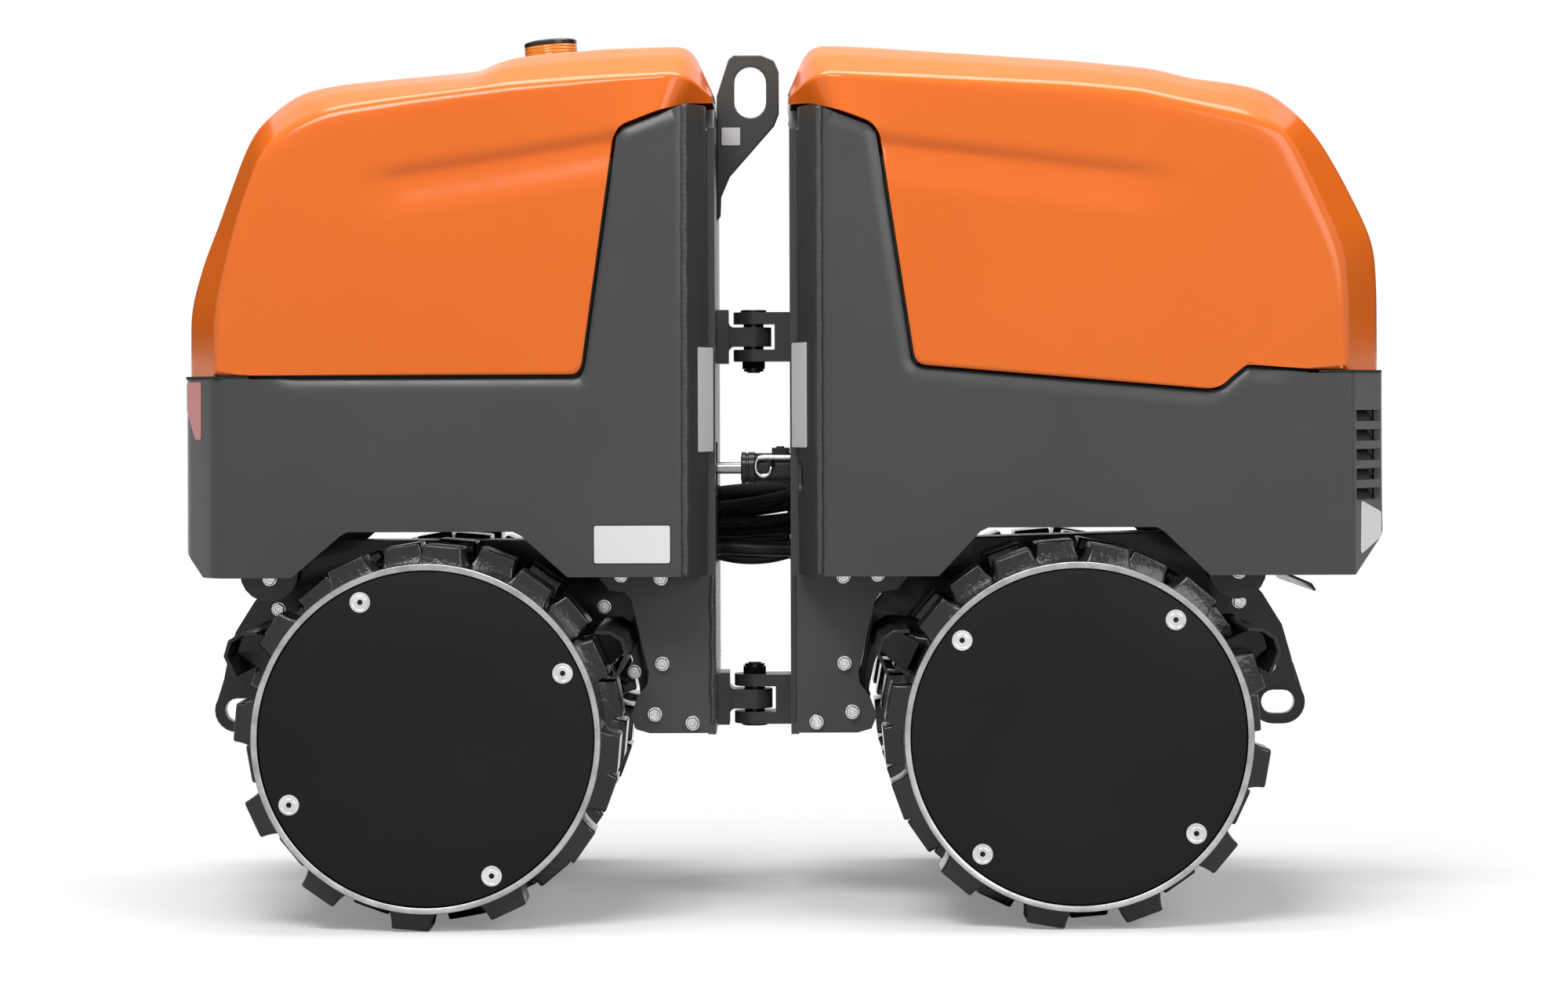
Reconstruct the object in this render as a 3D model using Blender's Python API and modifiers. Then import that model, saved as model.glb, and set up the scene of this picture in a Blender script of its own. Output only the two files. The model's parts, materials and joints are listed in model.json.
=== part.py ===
"""Articulated trench roller with four padfoot drum halves.

Metres, +Z up. The origin is on the floor below the middle of the machine, +X points to the front half,
and the machine is symmetric about the plane y = 0 apart from its steering cylinder and hoses.
"""
from math import cos, pi, radians, sin, sqrt

import bmesh
import bpy
from mathutils import Matrix, Vector

# Fits and walls
SEAT_GAP = 0.0003          # between pieces that touch
MOVING_GAP = 0.005         # between pieces that move past each other
FRAME_WALL = 0.008
HOOD_WALL = 0.005
PLATE = 0.012              # post, deck and bracket plates

# Drums
AXLE_X = {"rear": -0.523, "front": 0.428}
DRUM_R = 0.2555
DRUM_WALL = 0.0105         # its machined end shows as a ring round the cover
DRUM_INNER_Y = 0.075
DRUM_OUTER_Y = 0.410
DRUM_SIDES = 36
WEB_Y = 0.112              # inner face of the web that carries the drum on its axle
WEB_WALL = 0.020
COVER_WALL = 0.006
COVER_INSET = 0.002
AXLE_R = 0.045
AXLE_PROUD = 0.012         # past the web
PAD_ROWS = 3
PADS_PER_ROW = 12
PAD_BASE = (0.070, 0.094)  # around the drum, along the axle
PAD_TIP = (0.057, 0.082)
PAD_HEIGHT = 0.02576
PAD_SINK = 0.006
TIP_R = sqrt((DRUM_R + PAD_HEIGHT) ** 2 + (PAD_TIP[0] / 2) ** 2)   # to the edges of the pads' tips
AXLE_Z = TIP_R             # the tips stand on the floor
RIM_R = DRUM_R - DRUM_WALL
PAD_TURN = {"rear": 5.0, "front": 10.0}   # degrees from the top to the first pad

# Body plan, seen from above
BODY_HALF_Y = 0.300
END_HALF_Y = 0.220
POST_HALF_Y = 0.195
POST_BEND = 0.0425         # from the hinge face to the side's bend
CORNER_RUN = 0.057         # from the end face to the side's bend
HINGE_FACE_X = {"rear": -0.1045, "front": 0.0095}
END_X = {"rear": -0.903, "front": 0.903}
POST_FOOT_Z = AXLE_Z - 0.0147
BRACKET_STEP = 0.002       # from the post's foot up to the brackets'
POST_BELOW = 0.003         # the post's top below the seam
POST_CHAMFER = 0.030
CUT_Y = 1.5 * BODY_HALF_Y  # how far cutters reach past the sides
CUT_TOP = 1.45             # and above the hoods

# Lower edge of the frames. The arch over a drum is given outwards from the axle and up from the foot
DECK_CLEAR = 0.0246        # from the pads' tips to the deck
DECK_Z = 2 * AXLE_Z + DECK_CLEAR
FRAME_DROP = 0.078         # from the deck to the frames' lower edges
FRAME_FOOT_Z = DECK_Z - FRAME_DROP
ARCH = {
    "rear": [(-0.200, 0.0), (-0.131, 0.062), (-0.119, 0.068), (0.127, 0.068), (0.138, 0.062), (0.210, 0.0)],
    "front": [(-0.199, 0.0), (-0.137, 0.066), (-0.125, 0.072), (0.125, 0.072), (0.136, 0.066), (0.205, 0.0)],
}
END_CHAMFER = {"rear": (0.033, 0.036), "front": (0.053, 0.058)}   # run and rise of the lower corner

# Seam under each hood, as (x, z)
SEAM = {
    "rear": [(-0.950, 0.808), (-0.304, 0.808), (-0.2965, 0.824), (-0.248, 1.168), (-0.239, 1.180),
             (-0.145, 1.216), (-0.080, 1.221)],
    "front": [(0.950, 0.812), (0.790, 0.812), (0.690, 0.820), (0.652, 0.788), (0.634, 0.784),
              (0.198, 0.822), (0.190, 0.832), (0.138, 1.172), (0.127, 1.184), (0.042, 1.216),
              (-0.020, 1.219)],
}

# Hood ribs from the foot of the outer end over the roof to the hinge end.
# Columns: roof line x, z; crease x, z; inset of the roof's edge and of the crease from the body's side
HOOD_RIBS = {
    "rear": [(-0.892, 0.780, -0.842, 0.780, 0.085, 0.004), (-0.892, 0.902, -0.841, 0.889, 0.086, 0.004),
             (-0.887, 0.932, -0.836, 0.930, 0.087, 0.005), (-0.872, 0.984, -0.825, 0.978, 0.088, 0.005),
             (-0.850, 1.041, -0.810, 1.040, 0.090, 0.006), (-0.831, 1.095, -0.790, 1.100, 0.092, 0.007),
             (-0.811, 1.150, -0.776, 1.134, 0.094, 0.007), (-0.794, 1.184, -0.762, 1.155, 0.096, 0.008),
             (-0.772, 1.206, -0.740, 1.174, 0.098, 0.008), (-0.748, 1.226, -0.712, 1.190, 0.100, 0.009),
             (-0.721, 1.241, -0.686, 1.200, 0.102, 0.009), (-0.668, 1.2515, -0.650, 1.209, 0.105, 0.009),
             (-0.572, 1.261, -0.566, 1.222, 0.110, 0.010), (-0.485, 1.269, -0.500, 1.231, 0.115, 0.010),
             (-0.455, 1.272, -0.466, 1.235, 0.116, 0.010), (-0.431, 1.286, -0.440, 1.238, 0.117, 0.010),
             (-0.399, 1.294, -0.404, 1.242, 0.118, 0.010), (-0.2705, 1.3055, -0.272, 1.252, 0.118, 0.010),
             (-0.150, 1.309, -0.156, 1.2585, 0.118, 0.010), (-0.140, 1.305, -0.142, 1.254, 0.120, 0.024),
             (-0.110, 1.238, -0.112, 1.232, 0.150, 0.100)],
    "front": [(0.893, 0.760, 0.834, 0.760, 0.085, 0.004), (0.893, 0.930, 0.831, 0.930, 0.086, 0.004),
              (0.891, 0.982, 0.826, 0.984, 0.087, 0.005), (0.886, 1.012, 0.815, 1.018, 0.088, 0.005),
              (0.872, 1.046, 0.803, 1.046, 0.090, 0.006), (0.842, 1.106, 0.776, 1.106, 0.092, 0.007),
              (0.813, 1.157, 0.756, 1.148, 0.094, 0.007), (0.789, 1.189, 0.739, 1.174, 0.096, 0.008),
              (0.764, 1.213, 0.716, 1.184, 0.098, 0.008), (0.733, 1.236, 0.685, 1.193, 0.100, 0.009),
              (0.690, 1.2476, 0.650, 1.200, 0.103, 0.009), (0.611, 1.258, 0.590, 1.215, 0.108, 0.009),
              (0.586, 1.266, 0.566, 1.220, 0.110, 0.010), (0.556, 1.273, 0.536, 1.228, 0.112, 0.010),
              (0.440, 1.285, 0.430, 1.239, 0.116, 0.010), (0.122, 1.307, 0.124, 1.256, 0.118, 0.010),
              (0.050, 1.310, 0.060, 1.2595, 0.118, 0.010), (0.040, 1.306, 0.044, 1.254, 0.120, 0.024),
              (0.012, 1.240, 0.014, 1.232, 0.150, 0.100)],
}
HOOD_FOOT_INSET = 0.002
HOOD_FOOT_Z = 0.760

# Lid in the rear hood, as the side outline of its cutter
LID_OUTLINE = [(-0.980, 0.990), (-0.700, 1.100), (-0.572, 1.200), (-0.572, 1.400), (-0.980, 1.400)]
LID_HALF_Y = 0.165
LID_HINGE = (-0.572, 1.262)

# Seal under each hood's foot
SEAL_WIDE = 0.010
SEAL_INSET = 0.0008        # from the frame's outer face
SEAL_RUN = 0.050           # along the side, behind the corner

# Beacon
BEACON_X = -0.362
BUMP = ((-0.399, 1.294), (-0.2705, 1.3055))   # roof line of the bump that the beacon stands on
BEACON_BASE = (0.047, 0.006)
BEACON_LENS = (0.043, 0.028)
BEACON_CAP = (0.041, 0.010)

# Chassis
DECK_WALL = 0.008
DECK_INSET = (0.004, 0.012, 0.020)   # from the frame's end, from its bends and at its narrow ends
BRACKET_Y = 0.195          # outer face of the bracket plates
# Inner brackets' edge round the drum. Columns: distance beyond the pads' tips, degrees above the axle
BRACKET_LINE = [(0.0356, -2.6), (0.0144, -1.3), (0.0061, 2.6), (0.0191, 7.9), (0.0379, 11.2),
                (0.0436, 14.1), (0.0634, 32.8), (0.0640, 35.3), (0.0456, 38.5), (0.0462, 42.8)]
CARRIER_HALF_Y = 0.055
BUFFER_R = 0.030
BUFFER_REACH = {"outer": TIP_R - 0.0237, "inner": TIP_R - 0.0027}   # from the axle, along the machine
BUFFER_Z = DECK_Z - 0.079
CROSSBAR_END_Y = 0.140
WEB_HUB_R = 0.105          # the web's lower edge round the axle
HUB_R = 0.090
OUTER_BRACKET_R = 0.044    # half-round plates that the outer buffers bolt to
OUTER_BRACKET_UP = 0.004   # their centre above the buffer's
WELD_LAP = 0.003           # how deep plates of one weldment run into each other

# Carrier's arms round the drum. Columns: distance beyond the pads' tips, degrees above the axle
ARM_INNER_R = TIP_R + 0.0175
ARM_LINE = {"outer": [(0.0733, 8), (0.0733, 14), (0.0753, 22), (0.0698, 31), (0.0653, 52)],
            "inner": [(0.0345, 3), (0.0345, 9), (0.0539, 30), (0.0653, 52)]}
ARM_LONGER = {"rear": 0.0, "front": 0.0157}   # the front carrier's outer arm reaches further
ARM_ROOT = 29              # degrees at which the arms leave the web
WEB_NOTCH = (0.170, 0.060) # and where the web's edge begins, from the axle

# Scraper: a bent loop across the drums with teeth between the rows of pads.
# Columns: distance beyond the pads' tips, degrees above the axle
SCRAPER_LINE = [(0.0062, 31.6), (0.0250, 29.4), (0.0340, 26.4), (0.0310, 22.8), (0.0080, 18.4)]
SCRAPER_WALL = 0.005
SCRAPER_HALF_Y = 0.402
TOOTH_R = DRUM_R + 0.0065
TOOTH_WALL = 0.007
TOOTH_ANGLES = (19.6, 30.2)

# Tow eye at each carrier's outer end. The slot lies along the machine, its centre given from the axle
TOW_AT = {"rear": (TIP_R + 0.0470, 0.008), "front": (TIP_R + 0.0635, 0.016)}
TOW_R = 0.0185             # of the slot's ends
TOW_STRAIGHT = 0.008       # half of its straight run
TOW_RIM = 0.016
TOW_WALL = 0.020
TOW_NECK = (0.024, 0.062)  # the rim's root in the arm: half-width, height above the slot's centre

# Lifting eye
EYE_WALL = 0.020
EYE_OUTLINE = [(-0.0855, 1.310), (-0.078, 1.3165), (-0.034, 1.3165), (-0.014, 1.308), (-0.0065, 1.290),
               (-0.0065, 1.225), (-0.014, 1.206), (-0.084, 1.126), (-0.0975, 1.094), (-0.0985, 1.064),
               (-0.1042, 1.056), (-0.1042, 1.252)]
EYE_SLOT_AT = (-0.0515, 1.2585)
EYE_SLOT = (0.025, 0.0155)  # radius of its ends, half of its straight run

# Hitch
PIN_X = -0.0475
HITCH_Z = {"upper": 0.874, "lower": POST_FOOT_Z + 0.039}
PIN_R = 0.016
TONGUE_R = 0.028
TONGUE_PLAY = 0.0005       # round the pin
TONGUE_WALL = 0.030
TONGUE_BLOCK = (0.018, 0.040, 0.084)       # thickness, half-width, height
FORK_R = 0.0315
FORK_WALL = 0.0186
FORK_ROOT_WALL = 0.024
NUT_R = 0.0205
NUT_HIGH = 0.018
PIN_PROUD = 0.004          # its head beyond the fork

# Steering cylinder, parallel to X at rest
RAM_Y = -0.085
RAM_Z = DECK_Z + 0.080
ROD_EYE_X = -0.185
BARREL_EYE_X = 0.270
ROD_R = 0.012
BARREL_R = 0.025
GLAND_X = -0.067
BORE_END_X = 0.190         # how far the barrel is bored
ROD_END_X = 0.080          # how far the rod reaches into it
ROD_EYE_BORE = 0.0125
RAM_PIN_R = 0.010
RAM_PIN_PLAY = 0.0005
EYE_R = 0.024
EYE_HALF_Z = 0.014
EAR_WALL = 0.012
EAR_HALF_Y = 0.024
EYE_PLAY = 0.001           # above and below the barrel's eye
EAR_REACH = (0.020, 0.022) # towards the other eye from the pin, and from the eye's rim to the back
WINDOW = {"rear": (0.070, 0.040), "front": (0.078, 0.040)}   # half-width and half-height

# Hoses between the posts. Columns: name, radius, side place at the rear, at the front, end's height
# above the deck, sag in the middle
HOSES = [("hose_sleeve", 0.0100, 0.040, 0.050, 0.050, 0.006),
         ("hose_conduit_upper", 0.0105, 0.010, 0.018, 0.028, 0.012),
         ("hose_conduit_lower", 0.0115, 0.045, 0.030, 0.000, 0.016),
         ("hose_hydraulic_upper", 0.0085, 0.075, 0.068, -0.024, 0.020),
         ("hose_hydraulic_lower", 0.0110, 0.015, 0.022, -0.042, 0.018)]
HOSE_POINTS = 9

# Louvres in the front end
LOUVRE_ROWS = 5
LOUVRE_PITCH = 0.0292
LOUVRE_TOP = 0.757
LOUVRE_HIGH = 0.017
LOUVRE_SPANS = ((-0.292, -0.226), (-0.205, -0.010), (0.010, 0.205), (0.226, 0.292))   # across, as y

# Oval slot in the right facet beside the front post: centre y, z; radius; half of its straight run
FACET_SLOT = (-0.2275, RAM_Z - 0.010, 0.0125, 0.0115)

# Engine, as one plain block
ENGINE_LOW = (0.330, -0.170)
ENGINE_HIGH = (0.720, 0.170)
ENGINE_TOP = 1.040

# Deflector strip below the front end. Columns: x, height above the frame's lower edge
DEFLECTOR_START = AXLE_X["front"] + BUFFER_REACH["outer"] + OUTER_BRACKET_R + 0.0023
DEFLECTOR = [(DEFLECTOR_START, 0.011), (0.800, -0.018), (0.8065, -0.028)]
DEFLECTOR_WALL = 0.004
DEFLECTOR_HALF_Y = 0.1945

HOOD_HINGE = (0.893, 0.823)


def fresh_collection(name):
    """An empty collection of that name, linked to the scene."""
    old = bpy.data.collections.get(name)
    if old:
        bpy.data.collections.remove(old)
    new = bpy.data.collections.new(name)
    bpy.context.scene.collection.children.link(new)
    return new


for thing in list(bpy.data.objects):
    bpy.data.objects.remove(thing, do_unlink=True)
PARTS = fresh_collection("trench_roller")
CUTTERS = fresh_collection("cutters")

# Colours. Columns: base colour, roughness, metallic
FINISHES = {
    "orange_paint": ((0.90, 0.19, 0.045), 0.25, 0.0),
    "grey_paint": ((0.075, 0.08, 0.078), 0.38, 0.0),
    "black_paint": ((0.012, 0.012, 0.013), 0.30, 0.0),
    "cast_drum": ((0.016, 0.016, 0.018), 0.28, 0.0),
    "cover_plate": ((0.022, 0.019, 0.018), 0.60, 0.0),
    "zinc": ((0.62, 0.62, 0.60), 0.30, 1.0),
    "rubber": ((0.020, 0.020, 0.020), 0.80, 0.0),
    "amber": ((0.90, 0.30, 0.02), 0.15, 0.0),
    "chrome": ((0.75, 0.75, 0.76), 0.12, 1.0),
    "cast_block": ((0.20, 0.20, 0.20), 0.55, 0.6),
}


def finish(name):
    """The Principled material of that finish."""
    found = bpy.data.materials.get(name)
    if found:
        return found
    colour, roughness, metallic = FINISHES[name]
    made = bpy.data.materials.new(name)
    made.use_nodes = True
    shader = made.node_tree.nodes["Principled BSDF"]
    shader.inputs["Base Color"].default_value = (*colour, 1.0)
    shader.inputs["Roughness"].default_value = roughness
    shader.inputs["Metallic"].default_value = metallic
    return made


def place(mesh, name, material=None):
    """A new object from a mesh: a part if it has a material, otherwise a cutter."""
    thing = bpy.data.objects.new(name, mesh)
    if material:
        PARTS.objects.link(thing)
        mesh.materials.clear()
        mesh.materials.append(finish(material))
    else:
        CUTTERS.objects.link(thing)
        thing.hide_render = True
        thing.display_type = "WIRE"
    return thing


def from_bmesh(bm, name, material=None):
    """An object from a bmesh, which is freed."""
    mesh = bpy.data.meshes.new(name)
    bm.to_mesh(mesh)
    bm.free()
    return place(mesh, name, material)


def modify(target, kind, **values):
    """A modifier of that kind on the target."""
    made = target.modifiers.new(kind.lower(), kind)
    for key, value in values.items():
        setattr(made, key, value)
    return made


def combine(target, operation, *tools):
    """Boolean modifiers that cut, join or intersect the target with each tool in turn."""
    for tool in tools:
        modify(target, "BOOLEAN", operation=operation, object=tool, solver="EXACT")
    return target


def cut(target, *tools):
    return combine(target, "DIFFERENCE", *tools)


def join(target, *tools):
    return combine(target, "UNION", *tools)


def keep_inside(target, *tools):
    return combine(target, "INTERSECT", *tools)


def plate(name, outline, low, high, facing="Y", material=None):
    """A flat outline extruded from low to high along one axis.

    Facing Y takes the outline as (x, z), Z as (x, y) and X as (y, z).
    """
    curve = bpy.data.curves.new(name, "CURVE")
    curve.dimensions = "2D"
    curve.fill_mode = "BOTH"
    curve.extrude = abs(high - low) / 2
    spline = curve.splines.new("POLY")
    spline.points.add(len(outline) - 1)
    for point, (a, b) in zip(spline.points, outline):
        point.co = (a, b, 0.0, 1.0)
    spline.use_cyclic_u = True
    guide = bpy.data.objects.new(name + "_outline", curve)
    CUTTERS.objects.link(guide)
    bpy.context.view_layer.update()
    mesh = bpy.data.meshes.new_from_object(guide.evaluated_get(bpy.context.evaluated_depsgraph_get()))
    bpy.data.objects.remove(guide, do_unlink=True)
    middle = (low + high) / 2
    turns = {
        "Y": Matrix.Translation((0, middle, 0)) @ Matrix.Rotation(pi / 2, 4, "X"),
        "Z": Matrix.Translation((0, 0, middle)),
        "X": Matrix.Translation((middle, 0, 0)) @ Matrix(((0, 0, 1, 0), (1, 0, 0, 0), (0, 1, 0, 0),
                                                          (0, 0, 0, 1))),
    }
    bm = bmesh.new()
    bm.from_mesh(mesh)
    bpy.data.meshes.remove(mesh)
    bmesh.ops.remove_doubles(bm, verts=bm.verts, dist=0.00002)
    bmesh.ops.transform(bm, matrix=turns[facing], verts=bm.verts)
    bmesh.ops.recalc_face_normals(bm, faces=bm.faces)
    return from_bmesh(bm, name, material)


def block(name, low, high, material=None):
    """A box between two corners."""
    bm = bmesh.new()
    size = [b - a for a, b in zip(low, high)]
    middle = [(a + b) / 2 for a, b in zip(low, high)]
    bmesh.ops.create_cube(bm, size=1.0, matrix=Matrix.Translation(middle) @ Matrix.Diagonal((*size, 1)))
    return from_bmesh(bm, name, material)


def rod(name, start, end, radius, material=None, sides=24, end_radius=None):
    """A round bar or cone between two points."""
    start, end = Vector(start), Vector(end)
    run = end - start
    turn = run.to_track_quat("Z", "Y").to_matrix().to_4x4()
    bm = bmesh.new()
    bmesh.ops.create_cone(bm, cap_ends=True, segments=sides, radius1=radius,
                          radius2=radius if end_radius is None else end_radius, depth=run.length,
                          matrix=Matrix.Translation((start + end) / 2) @ turn)
    made = from_bmesh(bm, name, material)
    made.data.shade_smooth()
    made.data.set_sharp_from_angle(angle=radians(35))
    return made


def arc(centre, radius, start, end, steps):
    """Points along an arc, with its angles in degrees."""
    return [(centre[0] + radius * cos(radians(start + (end - start) * k / steps)),
             centre[1] + radius * sin(radians(start + (end - start) * k / steps)))
            for k in range(steps + 1)]


def slot_outline(centre, radius, straight, steps=8):
    """A slot standing upright: two half circles joined by straight runs."""
    x, z = centre
    return arc((x, z + straight), radius, 0, 180, steps) + arc((x, z - straight), radius, 180, 360, steps)


def offset_line(points, distance):
    """The line moved to its left by a distance, with its corners mitred."""
    moved = []
    for k, (x, z) in enumerate(points):
        before = points[k - 1] if k else None
        after = points[k + 1] if k + 1 < len(points) else None
        headings = []
        if before:
            headings.append(Vector((x - before[0], z - before[1])).normalized())
        if after:
            headings.append(Vector((after[0] - x, after[1] - z)).normalized())
        normals = [Vector((-h.y, h.x)) for h in headings]
        mitre = sum(normals, Vector((0, 0))).normalized()
        reach = distance / mitre.dot(normals[0])
        moved.append((x + mitre.x * reach, z + mitre.y * reach))
    return moved


def moved_to(thing, origin):
    """Puts the object's origin on a point without moving its shape."""
    thing.data.transform(Matrix.Translation([-v for v in origin]))
    thing.location = origin
    return thing


def mirrored(points):
    """The points and their mirror images in y, as one line from right to left."""
    return points + [(x, -y) for x, y in reversed(points)]


def side_sign(half):
    """-1 for the rear half, +1 for the front half: the way its outer end points."""
    return -1 if half == "rear" else 1


def body_plan(half):
    """Half of the frame's plan from the hinge face to the outer end, as (x, y) with y below zero."""
    out = side_sign(half)
    face, end = HINGE_FACE_X[half], END_X[half]
    return [(face, -POST_HALF_Y), (face + out * POST_BEND, -BODY_HALF_Y),
            (end - out * CORNER_RUN, -BODY_HALF_Y), (end, -END_HALF_Y), (end, 0.0)]


def frame_profile(half):
    """Side outline of a frame: its lower edge outwards, then its seam back to the hinge side."""
    out = side_sign(half)
    run, rise = END_CHAMFER[half]
    start, end = SEAM[half][-1][0], SEAM[half][0][0]
    corner = END_X[half] - out * run
    arch = [(AXLE_X[half] + out * x, FRAME_FOOT_Z + z) for x, z in ARCH[half]]
    past_end = abs(end - corner) * rise / run
    foot = [(start, FRAME_FOOT_Z), *arch, (corner, FRAME_FOOT_Z), (end, FRAME_FOOT_Z + past_end)]
    return foot + SEAM[half]


def body_frame(half):
    """Folded plate body: a wall round the plan, cut to the side outline by wings and arches."""
    plan = body_plan(half)
    wall = mirrored(plan[:-1])
    bm = bmesh.new()
    low, high = FRAME_FOOT_Z - 0.05, CUT_TOP - 0.05
    for (x0, y0), (x1, y1) in zip(wall, wall[1:]):
        corners = [(x0, y0, low), (x1, y1, low), (x1, y1, high), (x0, y0, high)]
        bm.faces.new([bm.verts.new(c) for c in corners])
    bmesh.ops.remove_doubles(bm, verts=bm.verts, dist=0.0001)
    bmesh.ops.recalc_face_normals(bm, faces=bm.faces)
    middle = Vector((sum(x for x, _ in wall) / len(wall), 0, 0))
    first = bm.faces[:][2]
    if first.normal.dot(first.calc_center_median() - middle) < 0:
        bmesh.ops.reverse_faces(bm, faces=bm.faces)
    frame = from_bmesh(bm, half + "_frame", "grey_paint")
    modify(frame, "SOLIDIFY", thickness=FRAME_WALL, offset=-1.0, use_even_offset=True)
    profile = plate(half + "_frame_outline", frame_profile(half), -CUT_Y, CUT_Y)
    post = HINGE_FACE_X[half] + side_sign(half) * (PLATE + SEAT_GAP)
    reach = (post, END_X[half] + side_sign(half) * 0.01)
    room = block(half + "_frame_room", (min(reach), -CUT_Y, 0), (max(reach), CUT_Y, CUT_TOP))
    return keep_inside(frame, profile, room)


def hood_shell(half, name):
    """Shell over the hood's ribs: roof strip, shoulders and sides, open below and at the seam."""
    bm = bmesh.new()
    grid = []
    ribs = HOOD_RIBS[half]
    foot_ends = ribs[0][2], ribs[-3][2]
    for k, (roof_x, roof_z, crease_x, crease_z, roof_inset, crease_inset) in enumerate(ribs):
        roof_y, crease_y = BODY_HALF_Y - roof_inset, BODY_HALF_Y - crease_inset
        share = min(k / (len(ribs) - 3), 1.0)
        foot_x = foot_ends[0] + (foot_ends[1] - foot_ends[0]) * share
        foot_y = BODY_HALF_Y - HOOD_FOOT_INSET
        if k > len(ribs) - 3:
            foot_x, foot_y = crease_x, crease_y + 0.002
        if k == 0:
            crease_z = max(crease_z, HOOD_FOOT_Z)
        foot_z = min(HOOD_FOOT_Z, crease_z - 0.02)
        bulge_z = (roof_z + crease_z) / 2 + 0.10 * abs(roof_z - crease_z)
        bulge = ((roof_x + crease_x) / 2, (roof_y + crease_y) / 2, bulge_z)
        right = [(foot_x, -foot_y, foot_z), (crease_x, -crease_y, crease_z),
                 (bulge[0], -bulge[1], bulge[2]), (roof_x, -roof_y, roof_z)]
        left = [(x, -y, z) for x, y, z in reversed(right)]
        grid.append([bm.verts.new(p) for p in right + left])
    for near, far in zip(grid, grid[1:]):
        for a, b, c, d in zip(near, near[1:], far[1:], far):
            bm.faces.new((a, b, c, d))
    bmesh.ops.remove_doubles(bm, verts=bm.verts, dist=0.0001)
    bmesh.ops.recalc_face_normals(bm, faces=bm.faces)
    top = max(bm.faces, key=lambda face: face.calc_center_median().z)
    if top.normal.z < 0:
        bmesh.ops.reverse_faces(bm, faces=bm.faces)
    shell = from_bmesh(bm, name, "orange_paint")
    modify(shell, "SOLIDIFY", thickness=HOOD_WALL, offset=-1.0, use_even_offset=True)
    return shell


def seam_room(half):
    """Everything above the seam and its moving gap, which the hood may fill."""
    out = side_sign(half)
    line = offset_line(SEAM[half], MOVING_GAP * -out)
    tail = [(line[-1][0] + out * -0.05, CUT_TOP), (line[0][0], CUT_TOP)]
    return plate(half + "_seam_room", line + tail, -CUT_Y, CUT_Y)


def hood(half):
    """Hood of one half; the rear one has the opening for its lid."""
    shell = hood_shell(half, half + "_hood")
    keep_inside(shell, seam_room(half))
    if half == "rear":
        gap = MOVING_GAP
        hinge_x = LID_HINGE[0]
        wide = [(x + (SEAT_GAP if x == hinge_x else 0), z - gap) for x, z in LID_OUTLINE]
        opening = plate("lid_opening", wide, -LID_HALF_Y - gap, LID_HALF_Y + gap)
        cut(shell, opening)
    origin = (HOOD_HINGE[0] * side_sign(half), 0, HOOD_HINGE[1])
    return moved_to(shell, origin)


def lid():
    """Lid that lies flush in the rear hood's end and roof."""
    shell = hood_shell("rear", "lid")
    keep_inside(shell, plate("lid_outline", LID_OUTLINE, -LID_HALF_Y, LID_HALF_Y))
    return moved_to(shell, (LID_HINGE[0], 0, LID_HINGE[1]))


def seal(half):
    """Rubber seal on the frame's outer end, which the hood's foot lies on."""
    out = side_sign(half)
    outer = offset_line(body_plan(half), SEAL_INSET * out)
    start = (outer[2][0] - out * SEAL_RUN, outer[2][1])
    line = [start] + outer[2:4]
    inner = offset_line(line + [(outer[3][0], 0)], (SEAL_WIDE if out > 0 else -SEAL_WIDE))[:-1]
    inner[-1] = (inner[-1][0], line[-1][1] + 0.004)
    ring = mirrored(line) + list(reversed(mirrored(inner)))
    seat = SEAM[half][0][1]
    return plate(half + "_hood_seal", ring, seat + SEAT_GAP, seat + MOVING_GAP - SEAT_GAP, "Z", "rubber")


def pad_mesh(name):
    """All pads of one drum half as tapered blocks, before they join its shell."""
    bm = bmesh.new()
    pitch = (DRUM_OUTER_Y - DRUM_INNER_Y) / PAD_ROWS
    for row in range(PAD_ROWS):
        across = DRUM_OUTER_Y - pitch * (row + 0.5)
        for k in range(PADS_PER_ROW):
            turn = 2 * pi * (k + 0.5 * (row % 2)) / PADS_PER_ROW
            high = PAD_HEIGHT + PAD_SINK
            shape = bmesh.ops.create_cube(bm, size=1.0)["verts"]
            for v in shape:
                around, along = PAD_TIP if v.co.z > 0 else PAD_BASE
                v.co = Vector((v.co.x * around, v.co.y * along, v.co.z * high))
            lift = DRUM_R - PAD_SINK + high / 2
            spin = Matrix.Rotation(turn, 4, "Y") @ Matrix.Translation((0, across, lift))
            bmesh.ops.transform(bm, matrix=spin, verts=shape)
    return from_bmesh(bm, name)


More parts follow.
